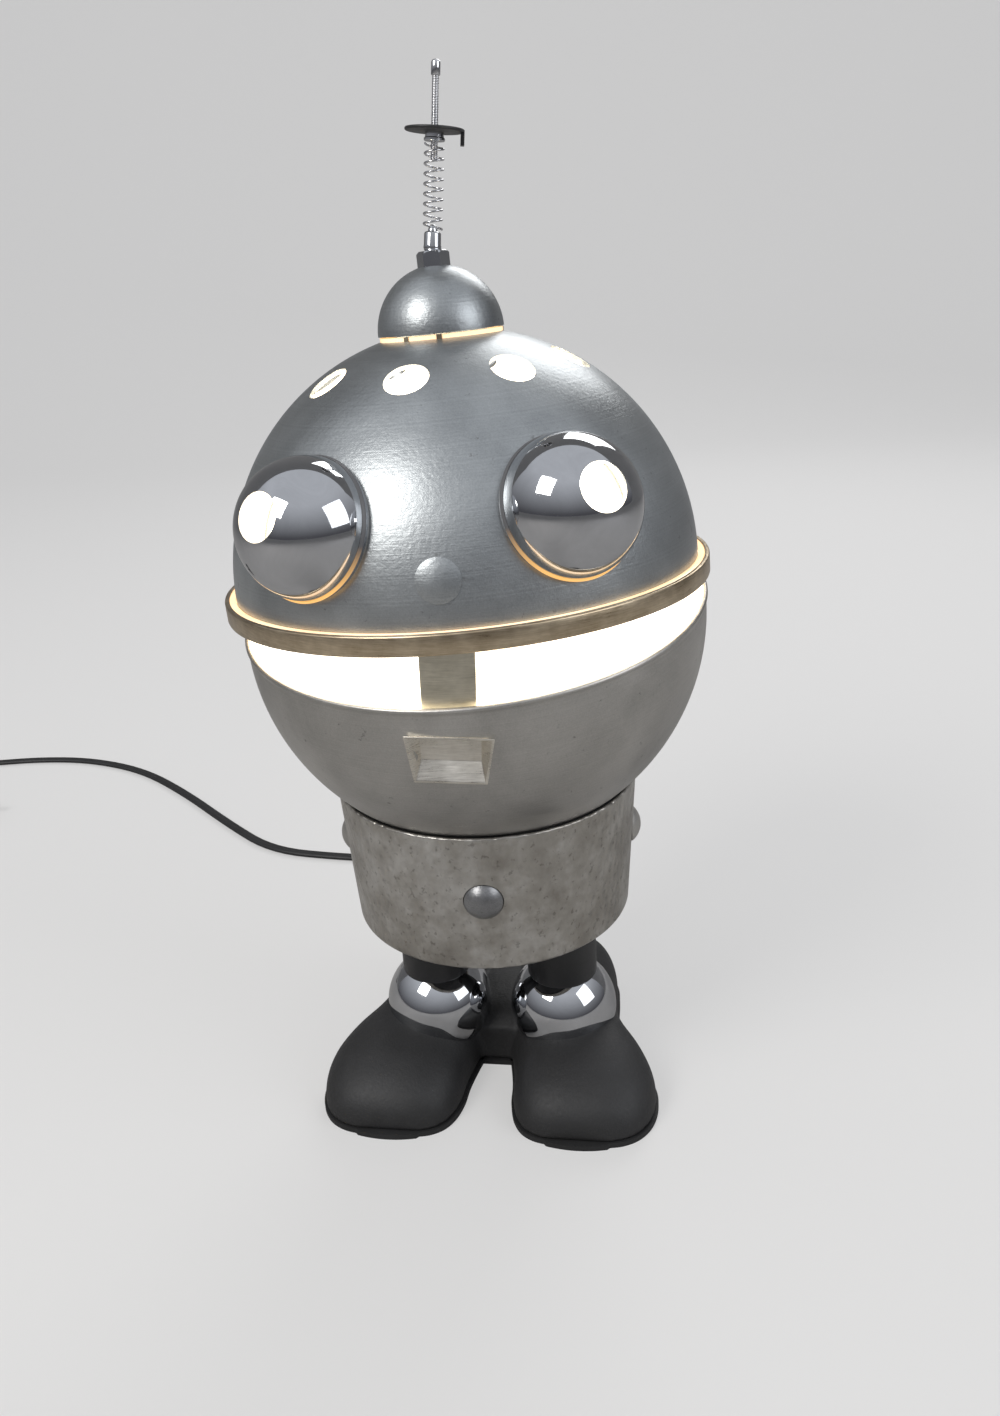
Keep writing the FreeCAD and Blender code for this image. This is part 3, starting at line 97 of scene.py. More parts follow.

# %% [markdown]
# Every new piece is a grid of points: one parameter runs along a profile and the other
# round the axis. Whole arrays are worked out at once, which is quick and keeps the
# formula in one place. `make_piece` then hides the CAD node that the piece stands for.

# %% Grids into meshes


def arc(radius, start, end, steps, centre=(0.0, 0.0)):
    """Points on a circle: centre plus radius times (cosine, sine) of the angle in degrees."""
    angle = np.radians(np.linspace(start, end, steps))
    return np.stack([centre[0] + radius * np.cos(angle),
                     centre[1] + radius * np.sin(angle)], axis=1)


def grid_faces(rows, columns, close_rows=False, close_columns=True):
    """Four-sided faces of a grid of rows by columns, joined up where it closes."""
    row = np.arange(rows if close_rows else rows - 1)
    column = np.arange(columns if close_columns else columns - 1)
    row, column = np.meshgrid(row, column, indexing="ij")
    above, beside = (row + 1) % rows, (column + 1) % columns
    corners = [row * columns + column, row * columns + beside,
               above * columns + beside, above * columns + column]
    return np.stack(corners, axis=-1).reshape(-1, 4)


def spun(profile, turns=160, closed=False):
    """Surface of revolution: radius times (cos, sin) of the turn, at the profile's height.

    The profile is (radius, height) pairs, run so that the outside lies on its right.
    """
    profile = np.asarray(profile, float)
    angle = np.linspace(0, 2 * math.pi, turns, endpoint=False)
    points = np.stack([profile[:, :1] * np.cos(angle), profile[:, :1] * np.sin(angle),
                       np.broadcast_to(profile[:, 1:], (len(profile), turns))], axis=-1)
    return points.reshape(-1, 3), grid_faces(len(profile), turns, closed, True)


def placed(points, place):
    """Points carried by a 4 by 4 placement."""
    return points @ place[:3, :3].T + place[:3, 3]


def joined(*parts):
    """Several (points, faces) grids as one."""
    points, faces, count = [], [], 0
    for some_points, some_faces in parts:
        points.append(some_points)
        faces += [list(np.asarray(face) + count) for face in some_faces]
        count += len(some_points)
    return np.concatenate(points), faces


def shade(mesh, sharp=38):
    """Shade smooth, except at edges over the given angle."""
    mesh.shade_smooth()
    mesh.set_sharp_from_angle(angle=math.radians(sharp))


def mesh_object(name, points, faces, sharp=38):
    """Mesh object from points in millimetres, smooth except at edges over the given angle."""
    mesh = bpy.data.meshes.new(name)
    mesh.from_pydata((np.asarray(points) * MM).tolist(), [],
                     [list(map(int, face)) for face in faces])
    work = bmesh.new()
    work.from_mesh(mesh)
    bmesh.ops.remove_doubles(work, verts=work.verts, dist=1e-6)
    bmesh.ops.recalc_face_normals(work, faces=work.faces)
    work.to_mesh(mesh)
    work.free()
    shade(mesh, sharp)
    item = bpy.data.objects.new(name, mesh)
    bpy.context.scene.collection.objects.link(item)
    return item


def make_piece(name, grid, nodes, body, finish, place=None, sharp=38):
    """A finished piece that stands for CAD nodes and rides on a body."""
    points, faces = grid
    if place is not None:
        points = placed(points, place)
    item = mesh_object(name, points, faces, sharp)
    return settle(item, nodes, body, finish)


def settle(item, nodes, body, finish):
    """Give an object its finish and its body, and hide the CAD nodes that it stands for."""
    item.data.materials.clear()
    item.data.materials.append(finish)
    if body:
        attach(item, body)
    if nodes:
        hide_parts(*nodes)
    print("%-16s %6d faces" % (item.name, len(item.data.polygons)))
    return item


def keep_result(item):
    """Make what an object's modifiers give into its own mesh."""
    graph = bpy.context.evaluated_depsgraph_get()
    result = bpy.data.meshes.new_from_object(item.evaluated_get(graph))
    item.modifiers.clear()
    item.data = result
    return result


def carve(item, cutters):
    """Cut closed cutters out of an object and keep the result as its mesh."""
    for cutter in cutters:
        change = item.modifiers.new("cut", "BOOLEAN")
        change.operation = "DIFFERENCE"
        change.solver = "EXACT"
        change.object = cutter
    keep_result(item)
    for cutter in cutters:
        bpy.data.meshes.remove(cutter.data)


def values_of(items, name, width=3, kind=float):
    """One value of every vertex, corner or face, as an array with a row for each."""
    values = np.empty(len(items) * width, kind)
    items.foreach_get(name, values)
    return values.reshape(-1, width) if width > 1 else values


def round_normals(item, centre):
    """Shade as a true ball: where a face looks along the radius, its corners take the radius."""
    mesh = item.data
    shade(mesh)
    spots = values_of(mesh.vertices, "co")[values_of(mesh.loops, "vertex_index", 1, int)]
    normals = values_of(mesh.corner_normals, "vector")
    sizes = values_of(mesh.polygons, "loop_total", 1, int)
    flat = np.repeat(values_of(mesh.polygons, "normal"), sizes, axis=0)
    out = spots - np.asarray(centre) * MM
    out /= np.linalg.norm(out, axis=1, keepdims=True)
    along = np.sum(flat * out, axis=1, keepdims=True)
    normals = np.where(np.abs(along) > 0.985, out * np.sign(along), normals)
    mesh.normals_split_custom_set(normals.tolist())


def glowing_enamel_inside(item, centre, limit):
    """Paint the inside of a bowl white enamel that glows with painted light: faces nearer the
    centre than the limit, in mm.
    """
    mesh = item.data
    mesh.materials.append(enamel_painted_glow_finish)
    middles = values_of(mesh.polygons, "center")
    away = np.linalg.norm(middles - np.asarray(centre) * MM, axis=1)
    mesh.polygons.foreach_set("material_index", (away < limit * MM).astype(int))


# %% [markdown]
# Finishes are node materials. A small class holds one socket, and adding or
# multiplying two of them adds the Math nodes, so a pattern reads like its formula.

# %% Wires and finishes


class Wire:
    """One number or colour inside a material."""

    def __init__(self, finish, socket):
        self.finish, self.socket = finish, socket

    def work(self, operation, *others):
        return self.finish.node("ShaderNodeMath", {"operation": operation}, {
            number: value for number, value in enumerate((self,) + others)})

    def __add__(self, other):
        return self.work("ADD", other)

    __radd__ = __add__

    def __sub__(self, other):
        return self.work("SUBTRACT", other)

    def __rsub__(self, other):
        return (self * -1.0) + other

    def __mul__(self, other):
        return self.work("MULTIPLY", other)

    __rmul__ = __mul__

    def step(self, low, high):
        """0 below low, 1 above high, and a straight rise between."""
        return self.finish.node("ShaderNodeMapRange", {"clamp": True},
                                {"Value": self, "From Min": low, "From Max": high})


class Finish:
    """A node material that is built up from wires."""

    def __init__(self, name, **plain):
        self.material = bpy.data.materials.new(name)
        self.material.use_nodes = True
        self.tree = self.material.node_tree
        self.shader = self.tree.nodes["Principled BSDF"]
        for socket, value in plain.items():
            socket = socket.replace("_", " ").title().replace("Ior", "IOR")
            self.shader.inputs[socket].default_value = value

    def node(self, kind, settings=None, inputs=None, output=0):
        """Add any node: its settings first, then the values or wires of its sockets."""
        made = self.tree.nodes.new(kind)
        for name, value in (settings or {}).items():
            if name == "stops":
                stops = made.color_ramp.elements
                while len(stops) < len(value):
                    stops.new(0.5)
                for stop, (place, colour) in zip(stops, value):
                    stop.position, stop.color = place, colour
            else:
                setattr(made, name, value)
        for name, value in (inputs or {}).items():
            if isinstance(value, Wire):
                self.tree.links.new(value.socket, made.inputs[name])
            else:
                made.inputs[name].default_value = value
        return Wire(self, made.outputs[output])

    def place(self, centre=(0, 0, 0), scale=(1, 1, 1), turned=(0, 0, 0)):
        """Object coordinates, centred, turned and scaled for a pattern."""
        here = self.node("ShaderNodeTexCoord", output="Object")
        moved = self.node("ShaderNodeVectorMath", {"operation": "SUBTRACT"},
                          {0: here, 1: tuple(centre)})
        return self.node("ShaderNodeMapping", {}, {
            "Vector": moved, "Rotation": tuple(turned), "Scale": tuple(scale)})

    def noise(self, where, scale, detail=3.0, rough=0.55, twist=0.0):
        return self.node("ShaderNodeTexNoise", {}, {
            "Vector": where, "Scale": scale, "Detail": detail, "Roughness": rough,
            "Distortion": twist})

    def cells(self, where, scale, smooth=0.6):
        return self.node("ShaderNodeTexVoronoi", {"feature": "SMOOTH_F1"}, {
            "Vector": where, "Scale": scale, "Smoothness": smooth}, output="Distance")

    def ramp(self, wire, *stops):
        return self.node("ShaderNodeValToRGB", {"stops": stops}, {"Fac": wire})

    def mix(self, share, first, second):
        """Colour between two colours or wires."""
        return self.node("ShaderNodeMix", {"data_type": "RGBA"},
                         {0: share, 6: first, 7: second}, output=2)

    def bump(self, *layers):
        """Stack bumps, each a (wire, depth in metres) pair."""
        below = None
        for wire, depth in layers:
            inputs = {"Height": wire, "Distance": depth, "Strength": 1.0}
            if below is not None:
                inputs["Normal"] = below
            below = self.node("ShaderNodeBump", {}, inputs)
        self.set("Normal", below)

    def set(self, socket, wire):
        self.tree.links.new(wire.socket, self.shader.inputs[socket])


def grey(value, tint=(1.0, 1.0, 1.0)):
    """A colour from a lightness and a tint."""
    return tuple(value * part for part in tint) + (1.0,)


# %% [markdown]
# The two bowls are spun steel with a satin metallic coat that has gone cloudy with
# age. Three things make it: faint rings left by the spinning tool, a fine orange peel,
# and soft clouds of tone with a few darker specks.

# %% Steel of the head
NECK_Z = 217.2
HEAD_TURN, HEAD_LEAN, HEAD_NOD = -1.0, -2.7, 6.8
HINGE_Y, HINGE_Z, MOUTH_OPEN = 94.2, -7.5, 8.8
CROWN_SIDE, CROWN_SHUT_Z = -1.8, 5.3
CHIN_ROLL, CHIN_TURN = 5.0, -2.6
head_place = (shift(0, 0, NECK_Z) @ turn("Z", HEAD_TURN) @ turn("Y", HEAD_LEAN)
              @ turn("X", HEAD_NOD))
crown_place = (head_place @ shift(0, HINGE_Y, HINGE_Z) @ turn("X", -MOUTH_OPEN)
               @ shift(CROWN_SIDE, -HINGE_Y, CROWN_SHUT_Z - HINGE_Z))
chin_place = head_place @ turn("Y", CHIN_ROLL) @ turn("Z", CHIN_TURN)


def spin_rings(finish, place, pitch):
    """Rings round a piece's own axis: noise that only reads the height along that axis."""
    centre = place[:3, 3] * MM
    axis = tuple(place[:3, 2])
    here = finish.node("ShaderNodeTexCoord", output="Object")
    from_centre = finish.node("ShaderNodeVectorMath", {"operation": "SUBTRACT"},
                              {0: here, 1: tuple(centre)})
    height = finish.node("ShaderNodeVectorMath", {"operation": "DOT_PRODUCT"},
                         {0: from_centre, 1: axis}, output="Value")
    lines = finish.node("ShaderNodeTexNoise", {"noise_dimensions": "1D"}, {
        "W": height * (1.0 / (pitch * MM)), "Scale": 1.0, "Detail": 2.0, "Roughness": 0.6})
    return lines


def head_steel(name, place, dark=(0.27, 0.285, 0.295), light=(0.49, 0.515, 0.525)):
    """Metallic coat: clouds, a little of the rings and grain, and a few dark specks."""
    finish = Finish(name, metallic=0.9, roughness=0.36)
    here = finish.place()
    rings = spin_rings(finish, place, 0.7)
    clouds = finish.noise(here, 22.0, 5.0, 0.6, 0.4)
    peel = finish.noise(here, 620.0, 2.0, 0.5)
    grain = finish.noise(here, 1900.0, 2.0, 0.6)
    specks = finish.noise(here, 240.0, 3.0, 0.7).step(0.66, 0.74)
    tone = clouds * 0.62 + rings * 0.12 + grain * 0.26
    colour = finish.ramp(tone, (0.33, tuple(dark) + (1,)), (0.66, tuple(light) + (1,)))
    finish.set("Base Color", finish.mix(specks * 0.45, colour, grey(0.1, (1, 0.97, 0.92))))
    finish.set("Roughness", clouds * 0.14 + grain * 0.12 + specks * 0.1 + 0.25)
    finish.bump((peel, 0.00009), (rings, 0.00003), (grain, 0.00003))
    return finish.material


crown_finish = head_steel("crown_steel", crown_place)
jaw_finish = head_steel("jaw_steel", head_place, (0.34, 0.33, 0.31), (0.58, 0.565, 0.535))
print("head finishes made")

# %% [markdown]
# The drum was left rougher: small dents all over, like hammered sheet, with brown
# between them where it has worn. The dents are smooth cells in the bump.

# %% Hammered steel of the body


def hammered(name):
    """Worn sheet: smooth cells and lumps in the bump, brown where the clouds are dark."""
    finish = Finish(name, metallic=0.92, roughness=0.4)
    here = finish.place(scale=(1.0, 1.0, 0.8))
    dents = finish.cells(here, 330.0, 0.8)
    lumps = finish.noise(here, 95.0, 4.0, 0.6)
    fine = finish.noise(here, 1300.0, 3.0, 0.6)
    clouds = finish.noise(here, 18.0, 4.0, 0.6, 0.5)
    colour = finish.ramp(lumps * 0.5 + clouds * 0.5, (0.34, (0.29, 0.27, 0.24, 1)),
                         (0.5, (0.43, 0.41, 0.375, 1)), (0.64, (0.6, 0.585, 0.555, 1)))
    pits = finish.noise(here, 420.0, 2.0, 0.6).step(0.6, 0.7)
    finish.set("Base Color", finish.mix(pits * 0.4, colour, (0.12, 0.105, 0.09, 1)))
    finish.set("Roughness", lumps * 0.2 + fine * 0.14 + pits * 0.2 + 0.2)
    finish.bump((dents, 0.0009), (lumps, 0.0006), (fine, 0.00004))
    return finish.material


drum_finish = hammered("hammered_steel")
print("hammered steel:", len(drum_finish.node_tree.nodes), "nodes")

# %% [markdown]
# Chrome is a bright metal with hardly any roughness. What keeps it from looking like a
# computer's idea of chrome is a film of dust and faint smears in the roughness.

# %% Chrome and bright wire


def chrome(name, colour=(0.6, 0.61, 0.63), rough=0.03, dust=0.09):
    """Bright metal: base roughness, plus smears of dust, plus fine grains."""
    finish = Finish(name, metallic=1.0)
    here = finish.place()
    smears = finish.noise(here, 60.0, 5.0, 0.65, 1.2)
    grains = finish.noise(here, 2600.0, 2.0, 0.5).step(0.64, 0.72)
    finish.set("Base Color", finish.ramp(smears, (0.3, grey(0.88, colour)),
                                         (0.7, grey(1.0, colour))))
    finish.set("Roughness", smears.step(0.45, 0.8) * dust + grains * 0.1 + rough)
    finish.bump((finish.noise(here, 45.0, 2.0, 0.5), 0.00006))
    return finish.material


chrome_finish = chrome("chrome")
wire_finish = chrome("bright_wire", (0.68, 0.68, 0.7), 0.12, 0.12)
zinc_finish = chrome("zinc_plate", (0.6, 0.6, 0.58), 0.26, 0.2)
brass_finish = chrome("turned_brass", (0.75, 0.55, 0.24), 0.2, 0.15)


def satin_metal(name, dark, light, rough=0.3):
    """Rolled strip: long fine scratches along the strip and small stains."""
    finish = Finish(name, metallic=1.0)
    here = finish.place(scale=(1.0, 1.0, 14.0))
    lines = finish.noise(here, 160.0, 3.0, 0.65)
    stains = finish.noise(finish.place(), 90.0, 4.0, 0.6)
    finish.set("Base Color", finish.ramp(stains * 0.6 + lines * 0.4, (0.34, dark), (0.66, light)))
    finish.set("Roughness", lines * 0.2 + stains * 0.16 + rough - 0.16)
    finish.bump((lines, 0.00004))
    return finish.material


# The lip ring's amber colour is painted light: grey metal tinted with the lamp's warm glow. Its
# scratches and stains are its own.
ring_glow_tinted_finish = satin_metal("ring_strip_painted_glow", (0.4, 0.31, 0.2, 1), (0.74, 0.62, 0.45, 1))
# The tooth is the jaw's own metal. Its paler, beige colour is painted light, the strip drawn as
# lit by the lamp.
tooth_painted_lit_finish = satin_metal("tooth_steel", (0.45, 0.42, 0.34, 1), (0.72, 0.68, 0.57, 1), 0.45)
dish_finish = satin_metal("dish_metal", (0.56, 0.52, 0.45, 1), (0.88, 0.84, 0.76, 1), 0.28)
button_finish = head_steel("button_steel", shift(0, 0, 121), (0.2, 0.2, 0.205),
                           (0.38, 0.385, 0.39))
print("chrome, wire, zinc, brass, ring, tooth, dish and button finishes made")

# %% [markdown]
# The shoes are a sand casting under matte black paint. Paint over sand has a grain of
# about half a millimetre, and it goes slightly shiny where hands and dusters rub it.

# %% Blacks


def black(name, tone=0.018, rough=0.6, grain=850.0, depth=0.00012, sheen=0.12):
    """Matte black: sandy grain of a given scale and depth, rubbed smoother in clouds."""
    finish = Finish(name)
    here = finish.place()
    sand = finish.noise(here, grain, 3.0, 0.6)
    rubbed = finish.noise(here, 30.0, 4.0, 0.6, 0.6)
    dust = finish.noise(here, 2100.0, 2.0, 0.6).step(0.68, 0.76)
    colour = finish.ramp(rubbed, (0.3, grey(tone, (1.0, 0.98, 0.98))),
                         (0.75, grey(tone * 1.7, (1.0, 1.0, 1.05))))
    finish.set("Base Color", finish.mix(dust * 0.25, colour, grey(0.16)))
    finish.set("Roughness", sand * 0.18 + rubbed * -sheen + rough)
    finish.bump((sand, depth), (rubbed, 0.0002))
    return finish.material


shoe_finish = black("shoe_black", 0.016, 0.56, 700.0, 0.00016)
leg_finish = black("leg_black", 0.014, 0.42, 1200.0, 0.00004)
sole_finish = black("sole_rubber", 0.014, 0.62, 900.0, 0.00008)
seat_finish = black("seat_rubber", 0.02, 0.7, 900.0, 0.00005)
plastic_finish = black("black_plastic", 0.02, 0.42, 1500.0, 0.00003)
cord_finish = black("cord_rubber", 0.015, 0.45, 1100.0, 0.00003)
print("six blacks made")

# %% [markdown]
# The globe is opal glass over a lit bulb, so it gives light itself, whiter in some
# places and warmer in others. Light that leaks past the eyes, the cap and the lip ring
# is amber, and thin glowing strips in those gaps stand for it. The bowls are enamelled
# white inside, and the enamel is made to glow too: painted light for the globe's light on it.

# %% Lit glass


def lit_glass(name, strength, warm=(1.0, 0.84, 0.6, 1), white=(1.0, 0.96, 0.88, 1)):
    """Glass that gives light: the colour runs from warm to white with a soft cloud."""
    finish = Finish(name, roughness=0.22)
    finish.shader.inputs["Emission Strength"].default_value = strength
    here = finish.place()
    cloud = finish.noise(here, 26.0, 3.0, 0.5)
    finish.set("Base Color", finish.ramp(cloud, (0.3, (0.9, 0.86, 0.78, 1)),
                                         (0.7, (0.95, 0.93, 0.88, 1))))
    finish.set("Emission Color", finish.mix(cloud.step(0.3, 0.62), warm, white))
    return finish.material


globe_finish = lit_glass("opal_glass", 2.4)
# The enamel's glow is painted light: the globe's light falling on the inside of the bowls and
# eyes.
enamel_painted_glow_finish = lit_glass("white_enamel_painted_glow", 0.5)
# Painted light: amber strips that stand for the lamp's light leaking through the gaps at the lip
# ring and the cap.
glow_finish = lit_glass("amber_leak_light", 1.0, (1.0, 0.5, 0.14, 1), (1.0, 0.62, 0.24, 1))


def leak_finish(name, place):
    """Amber light along the lower edge of an eye, fading to nothing round its sides."""
    finish = Finish(name, roughness=0.4)
    finish.shader.inputs["Base Color"].default_value = (0.12, 0.12, 0.125, 1)
    finish.shader.inputs["Emission Strength"].default_value = 1.0
    centre = place[:3, 3] * MM
    height = finish.node("ShaderNodeSeparateXYZ", {}, {"Vector": finish.place(tuple(centre))},
                         output=2)
    low = height.step(-0.003, -0.018)
    finish.set("Emission Color", finish.mix(low, (0, 0, 0, 1), (1.0, 0.52, 0.12, 1)))
    return finish.material


bulb_finish = lit_glass("bulb_glass", 3.0)
SLOT_FINISH = {
    "black_casting": shoe_finish, "sole_rubber": sole_finish, "chrome": chrome_finish,
    "leg_black": leg_finish, "zinc": zinc_finish, "drum_steel": drum_finish,
    "seat_rubber": seat_finish, "button_steel": button_finish,
    "black_plastic": plastic_finish, "brass": brass_finish, "bulb_glass": bulb_finish,
    "head_steel": crown_finish, "dish_metal": dish_finish, "tooth_steel": tooth_painted_lit_finish,
    "opal_glass": globe_finish, "ring_metal": ring_glow_tinted_finish, "spring_steel": wire_finish,
    "cord_rubber": cord_finish}
slot_of = {part["node"]: part["material_slot"] for part in frame["record"]["subparts"]}
for node, item in frame["nodes"].items():
    item.data.materials.clear()
    item.data.materials.append(SLOT_FINISH[slot_of[node]])
print(len(SLOT_FINISH), "finishes on the CAD nodes")

# %% [markdown]
# ## The head
# Each bowl is one closed profile turned round its axis: up the outside, over the rim
# and down the inside. The vents and the light holes behind the eyes are cut with round
# cutters, and then the corners are told the ball's own radius, so that the gloss runs
# evenly past every hole.

# %% Upper bowl
CROWN_R, WALL, TOP_HOLE_R = 90.0, 1.6, 18.0
EDGE_Z, EDGE_RISE = 0.3, 1.4
VENT_R, VENT_RISE, VENT_PHASE, VENT_COUNT = 8.0, 58.0, 12.3, 8
EYE_TURN, EYE_RISE, EYE_LIGHT_R = 31.3, 21.8, 21.5
crown_inside = CROWN_R - WALL


def aim(azimuth, rise, distance=0.0):
    """Placement whose Z looks out of a ball at an azimuth from the face and a rise."""
    a, e = math.radians(azimuth), math.radians(rise)
    out = np.array([math.sin(a) * math.cos(e), -math.cos(a) * math.cos(e), math.sin(e)])
    result = np.array(Matrix.Identity(4))
    side = np.cross([0, 0, 1.0], out)
    side /= np.linalg.norm(side)
    result[:3, 0], result[:3, 1], result[:3, 2] = side, np.cross(out, side), out
    result[:3, 3] = out * distance
    return result


def cutter(radius, low, high, place):
    """Closed round bar to cut with, from one height to another along its placement's Z."""
    points, faces = spun([(0, low), (radius, low), (radius, high), (0, high)], 72)
    return mesh_object("cutter", placed(points, place), faces)


def bowl_skin(radius, rows, turns=240):
    """Ball from a tilted edge, at height EDGE_Z + y tan EDGE_RISE, to the hole under the cap."""
    around = np.linspace(0, 2 * math.pi, turns, endpoint=False)
    slope = math.tan(math.radians(EDGE_RISE))
    low = np.arcsin((EDGE_Z + radius * np.sin(around) * slope) / radius)
    high = math.acos(TOP_HOLE_R / radius)
    share = np.linspace(0, 1, rows)[:, None]
    rise = low + (high - low) * share
    return np.stack([radius * np.cos(rise) * np.cos(around),
                     radius * np.cos(rise) * np.sin(around),
                     radius * np.sin(rise)], axis=-1)


outside, inside = bowl_skin(CROWN_R, 66), bowl_skin(crown_inside, 50)[::-1]
points = np.concatenate([outside, inside])
faces = grid_faces(len(points), 240, True)
points = points.reshape(-1, 3)
crown = mesh_object("upper_bowl", placed(points, crown_place), faces)
vents = [VENT_PHASE + 360.0 / VENT_COUNT * (k + 0.5) for k in range(VENT_COUNT)]
bars = [cutter(VENT_R, 60, 110, crown_place @ aim(azimuth, VENT_RISE)) for azimuth in vents]
bars += [cutter(EYE_LIGHT_R, 60, 110, crown_place @ aim(side * EYE_TURN, EYE_RISE))
         for side in (-1, 1)]
carve(crown, bars)
round_normals(crown, crown_place[:3, 3])
settle(crown, ["crown_bowl"], "crown", crown_finish)
glowing_enamel_inside(crown, crown_place[:3, 3], CROWN_R - 1.0)

# %% Lower bowl
JAW_R, JAW_HOLE_R, RIM_Z, BEAD_R = 90.7, 31.0, 7.6, 1.1
RIM_ANGLE = 2.9
jaw_inside = JAW_R - WALL
bead_centre = (math.sqrt(JAW_R ** 2 - (RIM_Z - BEAD_R) ** 2) - 0.3, RIM_Z - BEAD_R)
jaw_profile = np.concatenate([
    arc(JAW_R, -math.degrees(math.acos(JAW_HOLE_R / JAW_R)), RIM_ANGLE, 70),
    arc(BEAD_R, -50, 215, 18, bead_centre),
    arc(jaw_inside, RIM_ANGLE, -math.degrees(math.acos(JAW_HOLE_R / jaw_inside)), 54)])
points, faces = spun(jaw_profile, 240, closed=True)
jaw = mesh_object("lower_bowl", placed(points, head_place), faces)


def frustum(front, back):
    """Closed block between two four-cornered outlines."""
    points = np.array(list(front) + list(back), float)
    return points, [[0, 1, 2, 3], [7, 6, 5, 4], [0, 4, 5, 1], [1, 5, 6, 2], [2, 6, 7, 3],
                    [3, 7, 4, 0]]


DISH_TOP_W, DISH_LOW_W, DISH_FLOOR_W = 29.0, 23.6, 20.8
DISH_TOP_Z, DISH_LOW_Z = -4.4, -20.4
DISH_FLOOR_TOP_Z, DISH_FLOOR_LOW_Z = -6.4, -14.8
DISH_DEPTH, DISH_WALL = 3.9, 0.8


def dish_outline(share, grow):
    """Corners of the chin dish: from its mouth (share 0) to its floor (share 1)."""
    def between(a, b):
        return a + (b - a) * share
    top_w = between(DISH_TOP_W, DISH_FLOOR_W) / 2 + grow
    low_w = between(DISH_LOW_W, DISH_FLOOR_W) / 2 + grow
    top_z = between(DISH_TOP_Z, DISH_FLOOR_TOP_Z) + grow
    low_z = between(DISH_LOW_Z, DISH_FLOOR_LOW_Z) - grow
    y = -JAW_R + DISH_DEPTH * share
    return [(-top_w, y, top_z), (top_w, y, top_z), (low_w, y, low_z), (-low_w, y, low_z)]


DISH_ROOM = DISH_WALL + 0.1
points, faces = frustum(dish_outline(-0.8, DISH_ROOM), dish_outline(1.3, DISH_ROOM))
block = mesh_object("block", placed(points, chin_place), faces)
carve(jaw, [block])
round_normals(jaw, head_place[:3, 3])
settle(jaw, ["jaw_bowl"], "head", jaw_finish)
glowing_enamel_inside(jaw, head_place[:3, 3], JAW_R - 1.2)

# %% [markdown]
# The globe's shell is thin, so only its outside and its mouth matter. The tooth is a
# strip of sheet bent to the bowl, and the chin dish a pressed pan with soft corners.

# %% Globe, tooth and dish
GLOBE_R, GLOBE_WALL, GLOBE_Z, GLOBE_HOLE_R = 85.6, 2.0, 9.0, 46.0
mouth = -math.degrees(math.acos(GLOBE_HOLE_R / GLOBE_R))
outside_steps = 80
globe_profile = np.concatenate([
    arc(GLOBE_R, mouth, 90, outside_steps, (0, GLOBE_Z)),
    arc(GLOBE_R - GLOBE_WALL, 90, mouth + 0.8, 60, (0, GLOBE_Z))])
globe_profile[outside_steps - 1:outside_steps + 1, 0] = 0.0
outer = spun(globe_profile[:outside_steps], 160)
inner = spun(globe_profile[outside_steps:], 160)
lip = spun([globe_profile[-1], globe_profile[0]], 160)
make_piece("globe", joined(outer, inner, lip), ["opal_globe"], "head",
           globe_finish, head_place)


def bent_strip(radius, wall, half_angle, low, high, across=24, up=16):
    """Plate bent about Z: the angle runs across it, the height up it, on two radii."""
    angle = np.linspace(-half_angle, half_angle, across)
    height = np.linspace(low, high, up)
    angle, height = np.meshgrid(angle, height, indexing="ij")
    sheets = []
    for r in (radius, radius - wall):
        sheets.append(np.stack([r * np.sin(angle), -r * np.cos(angle), height], axis=-1)
                      .reshape(-1, 3))
    faces = grid_faces(across, up, False, False)
    count = across * up
    edge = np.concatenate([np.arange(up), np.arange(1, across) * up + up - 1,
                           (across - 1) * up + np.arange(up - 2, -1, -1),
                           np.arange(across - 2, 0, -1) * up])
    after = np.roll(edge, -1)
    rim = np.stack([edge, after, after + count, edge + count], axis=1)
    return np.concatenate(sheets), np.concatenate([faces, faces[:, ::-1] + count, rim])


def soften(item, width, segments=3, angle=40):
    """Round the hard edges of a piece, and keep the result as its mesh."""
    change = item.modifiers.new("soft", "BEVEL")
    change.width, change.segments = width * MM, segments
    change.limit_method, change.angle_limit = "ANGLE", math.radians(angle)
    shade(keep_result(item), 40)


TOOTH_R, TOOTH_WALL, TOOTH_W = 87.7, 1.2, 18.8
TOOTH_LOW_Z, TOOTH_HIGH_Z = -2.0, 30.4
points, faces = bent_strip(TOOTH_R, TOOTH_WALL, math.asin(TOOTH_W / 2 / TOOTH_R), TOOTH_LOW_Z,
                           TOOTH_HIGH_Z)
tooth = mesh_object("tooth", placed(points, chin_place), faces)
soften(tooth, 0.35)
settle(tooth, ["tooth_strip"], "head", tooth_painted_lit_finish)

pan_rings = [dish_outline(-0.1, DISH_WALL), dish_outline(1.2, DISH_WALL),
             dish_outline(1.0, 0.0), dish_outline(-0.1, 0.0)]
points = np.array([corner for ring in pan_rings for corner in ring], float)
walls = grid_faces(2, 4)
pan_faces = [list(face) for face in walls] + [[4, 5, 6, 7]]
pan_faces += [list(face + 8) for face in walls] + [[8, 9, 10, 11]]
pan_faces += [[0, 1, 13, 12], [1, 2, 14, 13], [2, 3, 15, 14], [3, 0, 12, 15]]
pan = mesh_object("chin_pan", placed(points, chin_place), pan_faces)
soften(pan, 0.55, 4, 20)
settle(pan, ["chin_dish"], "head", dish_finish)

# %% [markdown]
# The lip ring is a flat strip rolled into a hoop. It stands clear of the bowl on tabs,
# and the light that comes through that gap draws a bright line round the head. A thin
# glowing ring in the gap gives that line, and one like it sits under the cap's edge.

